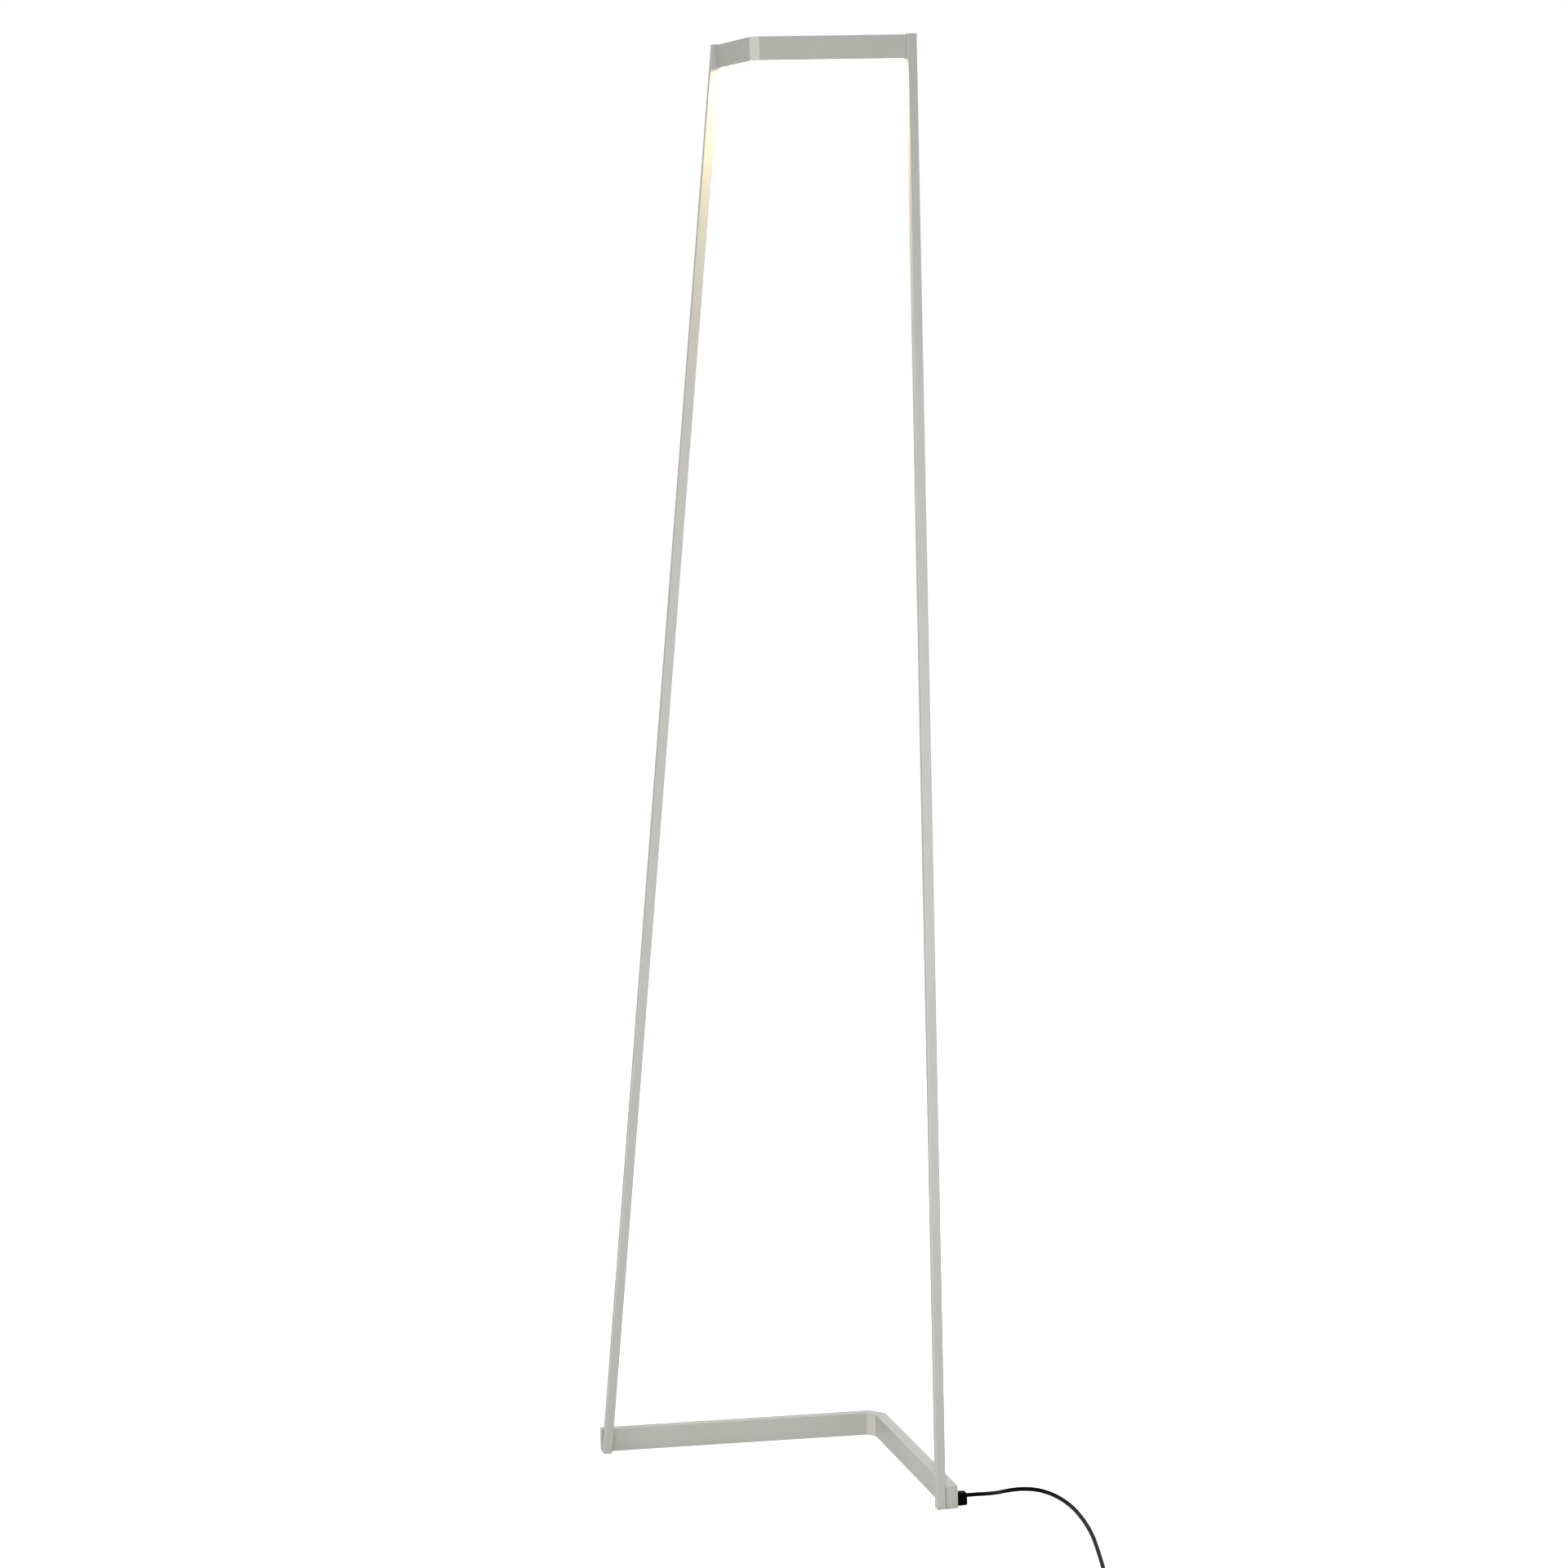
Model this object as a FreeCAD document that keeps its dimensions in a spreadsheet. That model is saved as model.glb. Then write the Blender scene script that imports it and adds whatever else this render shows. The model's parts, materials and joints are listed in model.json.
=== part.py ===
import FreeCAD, Part
import Sketcher
import math
import os
from types import SimpleNamespace

# An LED floor lamp: a V-shaped base, two leaning square uprights and a smaller V on top, turned
# the other way, with a strip of light in its underside. Millimetres and degrees, Z up. The origin
# is on the floor, in the middle of the lamp's outline without its cord.

# Driving sizes
sizes = {
    # both V's and the lean of the uprights
    "lamp_height": 1900,
    "base_span": 554,
    "base_reach": 258,
    "base_facet": 15,
    "top_span": 318.4,
    "top_reach": 145.5,
    "top_facet": 15.2,
    "top_setback": 178,
    "bar_height": 30.5,
    "bar_depth": 15.6,
    "bar_wall": 2,
    "overrun": 1,
    "seat_gap": 0.1,
    # uprights
    "upright_side": 12.5,
    "upright_wall": 1.25,
    "upright_round": 1.5,
    "upright_let_in": 7.7,
    "foot_collar": 3,
    "foot_edge": 1,
    "foot_insert": 5,
    "cap_proud": 1,
    "cap_insert": 4,
    # plates and screws that join the uprights to the V's
    "nut_plate_deep": 3.5,
    "nut_plate_margin": 3.6,
    "joint_screw": 4,
    "joint_head": 6.8,
    "joint_head_tall": 2.2,
    "base_joint_length": 9,
    "base_joint_low": 12,
    "base_joint_high": 20,
    "top_joint_length": 14,
    "top_joint_low": 24.5,
    "top_joint_high": 16,
    "screw_clearance": 0.15,
    # base
    "rest_gap": 0.3,
    "end_cap_thick": 2,
    "plate_lift": 2,
    "plate_thick": 1.5,
    "post_across": 6,
    "post_first": 24,
    "post_second": 205,
    "plate_screw": 3,
    "plate_head": 5.6,
    "plate_head_tall": 1.1,
    "plate_screw_length": 8,
    "ballast_gap": 0.3,
    "ballast_tall": 24,
    "ballast_one_start": 32,
    "ballast_one_end": 197,
    "ballast_two_start": 213,
    "ballast_two_end": 350,
    "ballast_screw_one": 115,
    "ballast_screw_two": 280,
    "pad_across": 9,
    "pad_one": 50,
    "pad_two": 330,
    # driver and terminals in the right arm
    "driver_start": 80,
    "driver_length": 110,
    "driver_tall": 16,
    "driver_wall": 1,
    "driver_gap": 0.3,
    "board_thick": 1.6,
    "board_lift": 2.5,
    "coil_part_length": 16,
    "coil_part_tall": 8,
    "can_across": 7,
    "can_length": 12,
    "chip_part_length": 8,
    "chip_part_tall": 4,
    "terminal_start": 40,
    "terminal_length": 22,
    "terminal_deep": 9,
    "terminal_tall": 12,
    # cord grip
    "grip_start": 5,
    "grip_length": 14,
    "grip_foot": 1.5,
    "grip_tall": 16.8,
    "grip_out": 14.5,
    "grip_round": 2,
    "grip_stub": 8,
    "grip_stub_reach": 2.6,
    "grip_nut": 11,
    "grip_nut_thick": 2.2,
    # light
    "cap_block": 14.5,
    "cap_block_tall": 19,
    "diffuser_lift": 0.4,
    "diffuser_thick": 2,
    "carrier_set_back": 15.5,
    "carrier_drop": 11,
    "carrier_thick": 3,
    "carrier_gap": 0.3,
    "carrier_post_first": 20,
    "carrier_screw_length": 9,
    "light_board_start": 27,
    "light_board_end": 9.1,
    "light_board_wide": 8,
    "light_board_thick": 1.2,
    "light_chip_long": 3.5,
    "light_chip_wide": 2.8,
    "light_chip_thick": 0.8,
    # wires
    "lead_across": 2.4,
    "wire_across": 2.2,
    "wire_hole": 5,
    "wire_base_level": 25.3,
    "wire_top_drop": 6.5,
    "wire_side": 3.4,
    "wire_in_tube": 2.2,
    # cord
    "cord_across": 5.4,
    # in-line switch: its middle is the place of the put-away cord's first piece
    "switch_x": 528.04,
    "switch_y": -376.94,
    "lay_turn": 209.84,
    "switch_long": 86,
    "switch_wide": 28,
    "switch_tall": 18,
    "switch_half": 9,
    "switch_round": 9,
    "switch_wall": 1.8,
    "switch_edge": 1.5,
    "button_across": 12,
    "button_gap": 0.3,
    "button_flange": 15,
    "button_flange_thick": 2.8,
    "button_proud": 1.6,
    "button_travel": 2.2,
    "button_stem": 4.4,
    "button_stem_drop": 3.6,
    "spring_across": 8.4,
    "spring_bore": 6,
    "contact_long": 30,
    "contact_wide": 14,
    "contact_tall": 5,
    "switch_screw_place": 28,
    "switch_post": 7,
    "switch_screw": 2.5,
    "switch_head": 5,
    "switch_head_tall": 1.4,
    "switch_screw_length": 11,
    # put-away coil: places along and across from the switch's middle
    "coil_along": 136.4,
    "coil_across": 8,
    "coil_outer_turn": 40.5,
    "coil_step": 6,
    "coil_level": 3.85,
    "tie_wide": 8,
    "tie_thick": 0.8,
    "tie_gap": 0.35,
    "tie_inner_slack": 0.8,
    # plug
    "plug_along": 214.02,
    "plug_across": -11.5,
    "plug_long": 37,
    "plug_wide": 35.3,
    "plug_thick": 13.7,
    "plug_neck": 13,
    "plug_taper": 16,
    "plug_straight": 12,
    "plug_edge": 2,
    "pin_across": 4,
    "pin_long": 19,
    "pin_spacing": 18.6,
    "pin_edge": 0.8,
}

# Counts
light_chip_count = 12
coil_turns_per_layer = 3
coil_steps_per_turn = 4

# The cord's route as it lies: grip to switch, switch to coil, coil to plug
run_route = [
    (288.73, -98.88, 13.2),
    (297.93, -89, 13.2),
    (304, -69.85, 9.9),
    (305.5, -48.65, 6.2),
    (307, -28.65, 3.9),
    (313.2, -12.35, 2.85),
    (326, -2.75, 2.8),
    (344, -0.85, 2.8),
    (374, -12.65, 2.8),
    (413, -41.65, 2.8),
    (455, -84.65, 2.8),
    (501, -139.65, 2.8),
    (548, -205.65, 2.8),
    (584, -257.65, 2.8),
    (606.47, -291.6, 2.8),
    (608.68, -314.54, 2.95),
    (598.17, -334.4, 4.3),
    (582.68, -345.59, 6.5),
    (565.34, -355.54, 6.5),
]
link_route = [
    (490.74, -398.34, 6.5),
    (479.46, -404.81, 6.5),
    (464.83, -407.44, 5.9),
    (449.45, -404.74, 5.0),
    (434.74, -402.22, 4.3),
    (421.25, -402.81, 3.9),
    (409.51, -407.47, 3.85),
    (398.24, -413.94, 3.85),
]
tail_route = [
    (388.87, -419.32, 9.85),
    (379.15, -424.89, 9.85),
    (370.24, -433.46, 9.1),
    (363.06, -445.07, 8.1),
    (356.39, -457.55, 7.2),
    (347.54, -467.24, 6.85),
    (336.69, -473.46, 6.85),
]

doc = FreeCAD.newDocument("FloorLamp")
sheet = doc.addObject("Spreadsheet::Sheet", "Sizes")
for row, (name, value) in enumerate(sizes.items(), start=1):
    sheet.set(f"A{row}", name)
    sheet.set(f"B{row}", str(value))
    sheet.setAlias(f"B{row}", name)
doc.recompute()


# A size is a number together with the sheet expression that gives it
class Size:
    def __init__(self, value, text):
        self.value = float(value)
        self.text = text

    def __add__(self, other):
        other = as_size(other)
        return Size(self.value + other.value, f"({self.text} + {other.text})")

    def __sub__(self, other):
        other = as_size(other)
        return Size(self.value - other.value, f"({self.text} - {other.text})")

    def __mul__(self, other):
        other = as_size(other)
        return Size(self.value * other.value, f"({self.text} * {other.text})")

    def __truediv__(self, other):
        other = as_size(other)
        return Size(self.value / other.value, f"({self.text} / {other.text})")

    def __neg__(self):
        return Size(-self.value, f"(0 - {self.text})")


def as_size(amount):
    if isinstance(amount, Size):
        return amount
    return Size(amount, repr(amount))


def cosine(angle):
    return Size(math.cos(math.radians(angle.value)), f"cos({angle.text})")


def sine(angle):
    return Size(math.sin(math.radians(angle.value)), f"sin({angle.text})")


def tangent(angle):
    return Size(math.tan(math.radians(angle.value)), f"tan({angle.text})")


def slope_angle(rise, run):
    ratio = rise / run
    return Size(math.degrees(math.atan(ratio.value)), f"atan({ratio.text})")


g = SimpleNamespace(**{name: Size(sheet.get(name), f"Sizes.{name}") for name in sizes})
zero = Size(0, "0")
up = FreeCAD.Vector(0, 0, 1)
nodes = []


def bind(item, prop, amount):
    item.setExpression(prop, as_size(amount).text)


def keep(item, label):
    item.Label = label
    nodes.append(item)
    return item


def spot(x, y, z):
    return FreeCAD.Vector(as_size(x).value, as_size(y).value, as_size(z).value)


def turned(angle):
    return FreeCAD.Rotation(up, as_size(angle).value)


# The two V's. Each stands on a face line with its own facet at the corner, and its depth is
# counted from that face: outwards in the base, backwards in the top.
class Vee:
    def __init__(self, span, reach, facet, y):
        self.half = span / 2
        self.reach = reach
        self.facet = facet
        self.y = y
        self.angle = slope_angle(reach, self.half)

    def end(self, s, t):
        x = s * cosine(self.angle) - t * sine(self.angle) - self.half
        y = s * sine(self.angle) + t * cosine(self.angle)
        return x, y

    def corner(self, t):
        x = -(self.facet / 2 + t * tangent(self.angle / 2))
        y = self.reach - self.facet / 2 * tangent(self.angle) + t
        return x, y

    def arm(self, side):
        x = self.half * -side
        angle = self.angle.value if side > 0 else 180 - self.angle.value
        place = FreeCAD.Placement(spot(x, self.y, zero), FreeCAD.Rotation(up, angle))
        return SimpleNamespace(place=place, side=side)


base_angle = slope_angle(g.base_reach, g.base_span / 2)
top_angle = slope_angle(g.top_reach, g.top_span / 2)
upright_turn = Size(90, "90") / 2 + (base_angle - top_angle) / 2

# The lamp's outline runs from the feet to the base's corner, and the origin lies halfway
foot_y = (sine(base_angle) - cosine(base_angle)) * g.upright_side / 2
corner_y = g.base_reach - g.base_facet / 2 * tangent(base_angle) + g.bar_depth
foot_spread = cosine(upright_turn) + sine(upright_turn)
foot_half = (g.upright_side / 2 - g.upright_round) * foot_spread + g.upright_round
middle_y = (corner_y + foot_y - foot_half + g.seat_gap) / 2

base_vee = Vee(g.base_span, g.base_reach, g.base_facet, -middle_y)
top_vee = Vee(g.top_span, -g.top_reach, g.top_facet, g.top_setback - middle_y)
base_left = base_vee.arm(1)
base_right = base_vee.arm(-1)
top_left = top_vee.arm(1)
top_right = top_vee.arm(-1)

# Levels
top_low = g.lamp_height - g.bar_height
base_inside_top = g.bar_height - g.bar_wall
top_inside_top = g.lamp_height - g.bar_wall
plate_top = g.plate_lift + g.plate_thick
carrier_low = g.lamp_height - g.carrier_drop - g.carrier_thick
middle_depth = g.bar_depth / 2


# Primitives placed on an arm: s runs along the arm from its end, t into its depth, z up
def on_arm(arm, s, t, z, rotation=None):
    local = FreeCAD.Placement(spot(s, as_size(t) * arm.side, z), rotation or FreeCAD.Rotation())
    return arm.place.multiply(local)


def block(name, arm, s, t, z, along, deep, tall):
    item = doc.addObject("Part::Box", name)
    bind(item, "Length", along)
    bind(item, "Width", deep)
    bind(item, "Height", tall)
    low = as_size(t) if arm.side > 0 else as_size(t) + deep
    item.Placement = on_arm(arm, s, low, z)
    return item


def heading(arm, way):
    aims = {"up": up, "deep": FreeCAD.Vector(0, arm.side, 0), "out": FreeCAD.Vector(0, -arm.side, 0)}
    aims["along"] = FreeCAD.Vector(1, 0, 0)
    return FreeCAD.Rotation(up, aims[way])


def rod(name, arm, s, t, z, across, length, way="up"):
    item = doc.addObject("Part::Cylinder", name)
    bind(item, "Radius", as_size(across) / 2)
    bind(item, "Height", length)
    item.Placement = on_arm(arm, s, t, z, heading(arm, way))
    return item


def taper(name, arm, s, t, z, across, end_across, length, way="up"):
    item = doc.addObject("Part::Cone", name)
    bind(item, "Radius1", as_size(across) / 2)
    bind(item, "Radius2", as_size(end_across) / 2)
    bind(item, "Height", length)
    item.Placement = on_arm(arm, s, t, z, heading(arm, way))
    return item


def cut(name, base, tools):
    for i, tool in enumerate(tools):
        item = doc.addObject("Part::Cut", f"{name}_cut_{i}")
        item.Base = base
        item.Tool = tool
        base = item
    return base


def fuse(name, items):
    item = doc.addObject("Part::MultiFuse", name)
    item.Shapes = items
    return item


def group(name, items):
    item = doc.addObject("Part::Compound", name)
    item.Links = items
    return item


def mirrored(name, source):
    item = doc.addObject("Part::Mirroring", name)
    item.Source = source
    item.Normal = FreeCAD.Vector(1, 0, 0)
    return item


# Sketches and bodies
def plane_of(body, role):
    return [plane for plane in body.Origin.OriginFeatures if plane.Role == role][0]


def new_sketch(body, name, level=zero):
    sketch = body.newObject("Sketcher::SketchObject", name)
    sketch.AttachmentSupport = (plane_of(body, "XY_Plane"), [""])
    sketch.MapMode = "FlatFace"
    bind(sketch, "AttachmentOffset.Base.z", level)
    return sketch


def fix_point(sketch, index, x, y):
    for kind, amount, axis in (("DistanceX", x, -2), ("DistanceY", y, -1)):
        if abs(amount.value) < 1e-9:
            sketch.addConstraint(Sketcher.Constraint("PointOnObject", index, 1, axis))
            continue
        if amount.value < 0:
            ends = (index, 1, -1, 1)
            amount = -amount
        else:
            ends = (-1, 1, index, 1)
        number = sketch.addConstraint(Sketcher.Constraint(kind, *ends, amount.value))
        sketch.setExpression(f"Constraints[{number}]", amount.text)


def outline(sketch, points, twins=None):
    first = sketch.GeometryCount
    count = len(points)
    vectors = [spot(x, y, zero) for x, y in points]
    for a, b in zip(vectors, vectors[1:] + vectors[:1]):
        sketch.addGeometry(Part.LineSegment(a, b), False)
    for i in range(count):
        after = first + (i + 1) % count
        sketch.addConstraint(Sketcher.Constraint("Coincident", first + i, 2, after, 1))
    twins = twins or {}
    for i, (x, y) in enumerate(points):
        if i in twins:
            other = first + twins[i]
            sketch.addConstraint(Sketcher.Constraint("Symmetric", other, 1, first + i, 1, -2))
        else:
            fix_point(sketch, first + i, x, y)


def band_points(vee, near, far, set_back):
    left = [vee.end(set_back, near), vee.corner(near), vee.corner(far), vee.end(set_back, far)]
    flip = [(-x, y) for x, y in left]
    return [left[0], left[1], flip[1], flip[0], flip[3], flip[2], left[2], left[3]]


band_twins = {2: 1, 3: 0, 4: 7, 5: 6}


def raise_pad(body, sketch, name, length):
    pad = body.newObject("PartDesign::Pad", name)
    pad.Profile = sketch
    bind(pad, "Length", length)
    sketch.Visibility = False
    return pad


def band(name, vee, near, far, set_back, low, tall):
    body = doc.addObject("PartDesign::Body", name)
    sketch = new_sketch(body, name + "_outline", low)
    outline(sketch, band_points(vee, as_size(near), far, as_size(set_back)), band_twins)
    raise_pad(body, sketch, name + "_pad", tall)
    body.Placement = FreeCAD.Placement(spot(zero, vee.y, zero), FreeCAD.Rotation())
    return body


def channel(name, vee, low, tall):
    body = band(name, vee, zero, g.bar_depth, zero, low, tall)
    doc.recompute()
    full = body.Shape.Volume
    sketch = new_sketch(body, name + "_hollow", low)
    inner = band_points(vee, g.bar_wall, g.bar_depth - g.bar_wall, -g.overrun)
    outline(sketch, inner, band_twins)
    pocket = body.newObject("PartDesign::Pocket", name + "_pocket")
    pocket.Profile = sketch
    pocket.Reversed = True
    bind(pocket, "Length", as_size(tall) - g.bar_wall)
    doc.recompute()
    print(name, "volume", round(full), "hollowed to", round(body.Shape.Volume))
    if body.Shape.Volume > full * 0.9:
        raise SystemExit(f"{name}: the pocket cuts the wrong way")
    return body


# The left upright's line: from the foot, against the base's inner face at the arm's end, to the
# head, let into the end of the top V
foot = base_left.place.multVec(spot(g.upright_side / 2, -g.upright_side / 2, zero))
head_t = g.upright_let_in - g.upright_side / 2
head = top_left.place.multVec(spot(g.upright_side / 2, head_t, g.lamp_height))
lean = (head - foot) * (1 / g.lamp_height.value)


def axis_on(arm, z):
    return arm.place.inverse().multVec(foot + lean * as_size(z).value)


def leaning(name, x_low, x_high, y_low, y_high, low, high, hollow=None, round_edge=None):
    low = as_size(low)
    body = doc.addObject("PartDesign::Body", name)
    sketch = new_sketch(body, name + "_outline")
    x_low, x_high, y_low, y_high = [as_size(v) for v in (x_low, x_high, y_low, y_high)]
    outline(sketch, [(x_low, y_low), (x_high, y_low), (x_high, y_high), (x_low, y_high)])
    if hollow:
        inner = g.upright_side / 2 - hollow
        outline(sketch, [(-inner, -inner), (inner, -inner), (inner, inner), (-inner, inner)])
    pad = raise_pad(body, sketch, name + "_pad", high - low)
    turn = turned(upright_turn)
    pad.UseCustomVector = True
    pad.Direction = turn.inverted().multVec(lean)
    pad.AlongSketchNormal = True
    body.Placement = FreeCAD.Placement(foot + lean * low.value, turn)
    doc.recompute()
    if round_edge:
        fillet = body.newObject("PartDesign::Fillet", name + "_round")
        reach = (x_high.value - x_low.value) / 2 - hollow_wall(hollow) / 2
        fillet.Base = (pad, long_edges(pad.Shape, (high - low).value, reach))
        bind(fillet, "Radius", round_edge)
        doc.recompute()
    return body


def hollow_wall(hollow):
    return hollow.value if hollow else g.seat_gap.value


def long_edges(shape, tall, reach):
    names = []
    for i, edge in enumerate(shape.Edges, start=1):
        rise = abs(edge.Vertexes[-1].Z - edge.Vertexes[0].Z)
        lowest = min(edge.Vertexes, key=lambda vertex: vertex.Z)
        if abs(rise - tall) < tall / 1000 and min(abs(lowest.X), abs(lowest.Y)) > reach:
            names.append(f"Edge{i}")
    return names


def square_leaning(name, side, low, high, hollow=None, round_edge=None):
    half = side / 2
    return leaning(name, -half, half, -half, half, low, high, hollow, round_edge)


# Room in the V's for the uprights, open at the arms' ends
room_half = g.upright_side / 2 + g.seat_gap
room_out = room_half + g.overrun
base_room_left = leaning("base_room_left", -room_out, room_half, -room_half, room_half,
                         -g.overrun, g.bar_height + g.overrun)
base_room_right = mirrored("base_room_right", base_room_left)
top_room_left = leaning("top_room_left", -room_half, room_half, -room_half, room_out,
                        top_low - g.overrun, g.lamp_height + g.overrun)
top_room_right = mirrored("top_room_right", top_room_left)

# The right upright carries the wire, off the tube's axis, and has a hole for it at foot and head
tube_shift = turned(upright_turn).multVec(spot(-g.wire_in_tube, -g.wire_in_tube, zero))


def in_tube(z):
    point = foot + tube_shift + lean * as_size(z).value
    return FreeCAD.Vector(-point.x, point.y, point.z)


head_level = g.lamp_height - g.wire_top_drop
foot_inside = base_right.place.inverse().multVec(in_tube(g.wire_base_level))
head_inside = top_right.place.inverse().multVec(in_tube(head_level))
wire_foot_hole = rod(
    "wire_foot_hole", base_right, foot_inside.x, -g.upright_side / 2, g.wire_base_level,
    g.wire_hole, g.upright_side / 2 + g.bar_wall + g.overrun, "deep",
)
wire_head_hole = rod(
    "wire_head_hole", top_right, head_inside.x, -head_inside.y, head_level,
    g.wire_hole, g.upright_side, "deep",
)

# Joint screws at the foot, driven from inside the base into the plates in the uprights
base_joint_levels = [g.base_joint_low, g.base_joint_high]
base_joint_holes = []
base_joint_screws = []
for i, level in enumerate(base_joint_levels):
    place_s = axis_on(base_left, level).x
    start = g.bar_wall - g.base_joint_length
    shank = rod(f"foot_shank_{i}", base_left, place_s, start, level,
                g.joint_screw, g.base_joint_length, "deep")
    top = rod(f"foot_head_{i}", base_left, place_s, g.bar_wall, level,
              g.joint_head, g.joint_head_tall, "deep")
    base_joint_screws.append(fuse(f"foot_screw_{i}", [shank, top]))
    base_joint_holes.append(rod(
        f"foot_screw_hole_{i}", base_left, place_s, start - g.overrun, level,
        g.joint_screw + g.screw_clearance * 2, g.base_joint_length + g.overrun * 2, "deep",
    ))
foot_screws_left = group("foot_screws_left", base_joint_screws)
foot_holes_left = fuse("foot_holes_left", base_joint_holes)
foot_screws_right = mirrored("foot_screws_right", foot_screws_left)
foot_holes_right = mirrored("foot_holes_right", foot_holes_left)
keep(group("base_joint_screws", [foot_screws_left, foot_screws_right]), "base_joint_screws")

# Joint screws at the head, countersunk in the top V's back wall
top_joint_levels = [g.lamp_height - g.top_joint_low, g.lamp_height - g.top_joint_high]
top_joint_holes = []
top_joint_screws = []
for i, level in enumerate(top_joint_levels):
    place_s = axis_on(top_left, level).x
    sunk = g.bar_depth - g.bar_wall
    shank = rod(f"head_shank_{i}", top_left, place_s, sunk, level,
                g.joint_screw, g.top_joint_length - g.bar_wall, "out")
    top = taper(f"head_cone_{i}", top_left, place_s, g.bar_depth, level,
                g.joint_head, g.joint_screw, g.bar_wall, "out")
    top_joint_screws.append(fuse(f"head_screw_{i}", [shank, top]))
    wider = g.screw_clearance * 2
    hole = rod(f"head_hole_{i}", top_left, place_s, g.bar_depth + g.overrun, level,
               g.joint_screw + wider, g.top_joint_length + g.overrun * 2, "out")
    sink = taper(f"head_sink_{i}", top_left, place_s, g.bar_depth, level,
                 g.joint_head + wider, g.joint_screw + wider, g.bar_wall, "out")
    top_joint_holes.append(fuse(f"head_screw_hole_{i}", [hole, sink]))
head_screws_left = group("head_screws_left", top_joint_screws)
head_holes_left = fuse("head_holes_left", top_joint_holes)
head_screws_right = mirrored("head_screws_right", head_screws_left)
head_holes_right = mirrored("head_holes_right", head_holes_left)
keep(group("head_joint_screws", [head_screws_left, head_screws_right]), "head_joint_screws")

# Base frame: a folded channel, open below, with threaded posts for the bottom plate
grip_s = g.grip_start + g.grip_length / 2
grip_z = g.grip_foot + g.grip_tall / 2
stub_start = g.bar_depth - g.bar_wall - g.grip_stub_reach
base_body = channel("base_channel", base_vee, g.rest_gap, g.bar_height - g.rest_gap)
screw_hole = g.plate_screw + g.screw_clearance * 2
post_places = []
for arm in (base_left, base_right):
    post_places += [(arm, g.post_first), (arm, g.post_second)]
middle_arm = SimpleNamespace(
    place=FreeCAD.Placement(spot(zero, base_vee.y + base_vee.corner(zero)[1], zero), FreeCAD.Rotation()),
    side=1,
)
post_places.append((middle_arm, zero))
posts = []
post_bores = []
plate_screws = []
plate_holes = []


def plate_screw(i, arm, s, post):
    head_low = g.plate_lift - g.plate_head_tall
    head = rod(f"plate_head_{i}", arm, s, middle_depth, head_low, g.plate_head, g.plate_head_tall)
    shank = rod(f"plate_shank_{i}", arm, s, middle_depth, g.plate_lift,
                g.plate_screw, g.plate_screw_length)
    plate_screws.append(fuse(f"plate_screw_{i}", [head, shank]))
    hole = rod(f"plate_hole_{i}", arm, s, middle_depth, head_low,
               screw_hole, g.plate_screw_length + g.plate_head_tall + g.overrun)
    plate_holes.append(hole)
    if post:
        posts.append(rod(f"post_{i}", arm, s, middle_depth, plate_top,
                         g.post_across, g.bar_height - g.bar_wall / 2 - plate_top))


for i, (arm, s) in enumerate(post_places):
    plate_screw(i, arm, s, True)
post_bores = list(plate_holes)
grip_hole = rod("grip_hole", base_right, grip_s, stub_start, grip_z,
                g.grip_stub + g.screw_clearance * 2, g.bar_depth - stub_start + g.overrun, "deep")
base_full = fuse("base_full", [base_body] + posts)
base_frame = cut(
    "base_frame", base_full,
    [base_room_left, base_room_right, foot_holes_left, foot_holes_right, wire_foot_hole, grip_hole]
    + post_bores,
)
keep(base_frame, "base_frame")

# End caps of the base
cap_deep = g.bar_depth - g.bar_wall * 2 - g.seat_gap * 2
base_cap = block("base_cap", base_left, zero, g.bar_wall + g.seat_gap, g.rest_gap,
                 g.end_cap_thick, cap_deep, base_inside_top - g.rest_gap)
keep(base_cap, "base_end_cap_left")
keep(mirrored("base_cap_right", base_cap), "base_end_cap_right")

# Ballast bars, held from below through the bottom plate
ballast_deep = g.bar_depth - g.bar_wall * 2 - g.ballast_gap * 2
ballast_t = g.bar_wall + g.ballast_gap
bar_one = block("bar_one", base_left, g.ballast_one_start, ballast_t, plate_top,
                g.ballast_one_end - g.ballast_one_start, ballast_deep, g.ballast_tall)
bar_two = block("bar_two", base_left, g.ballast_two_start, ballast_t, plate_top,
                g.ballast_two_end - g.ballast_two_start, ballast_deep, g.ballast_tall)
bar_three = mirrored("bar_three", bar_two)
ballast_places = [
    (base_left, g.ballast_screw_one), (base_left, g.ballast_screw_two),
    (base_right, g.ballast_screw_two),
]
for i, (arm, s) in enumerate(ballast_places, start=len(post_places)):
    plate_screw(i, arm, s, False)
ballast_holes = plate_holes[len(post_places):]
keep(cut("ballast_one", bar_one, ballast_holes[:1]), "ballast_bar_left_long")
keep(cut("ballast_two", bar_two, ballast_holes[1:2]), "ballast_bar_left_short")
keep(cut("ballast_three", bar_three, ballast_holes[2:]), "ballast_bar_right")

# Bottom plate with its screws and rest pads
plate_body = band("plate_body", base_vee, g.bar_wall + g.seat_gap,
                  g.bar_depth - g.bar_wall - g.seat_gap, g.end_cap_thick + g.seat_gap,
                  g.plate_lift, g.plate_thick)
keep(cut("base_bottom_plate", plate_body, plate_holes), "base_bottom_plate")
keep(group("base_plate_screws", plate_screws), "base_plate_screws")
pads = []
for arm in (base_left, base_right):
    for s in (g.pad_one, g.pad_two):
        pads.append(rod(f"pad_{len(pads)}", arm, s, middle_depth, zero, g.pad_across, g.plate_lift))
keep(group("rest_pads", pads), "rest_pads")

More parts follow.
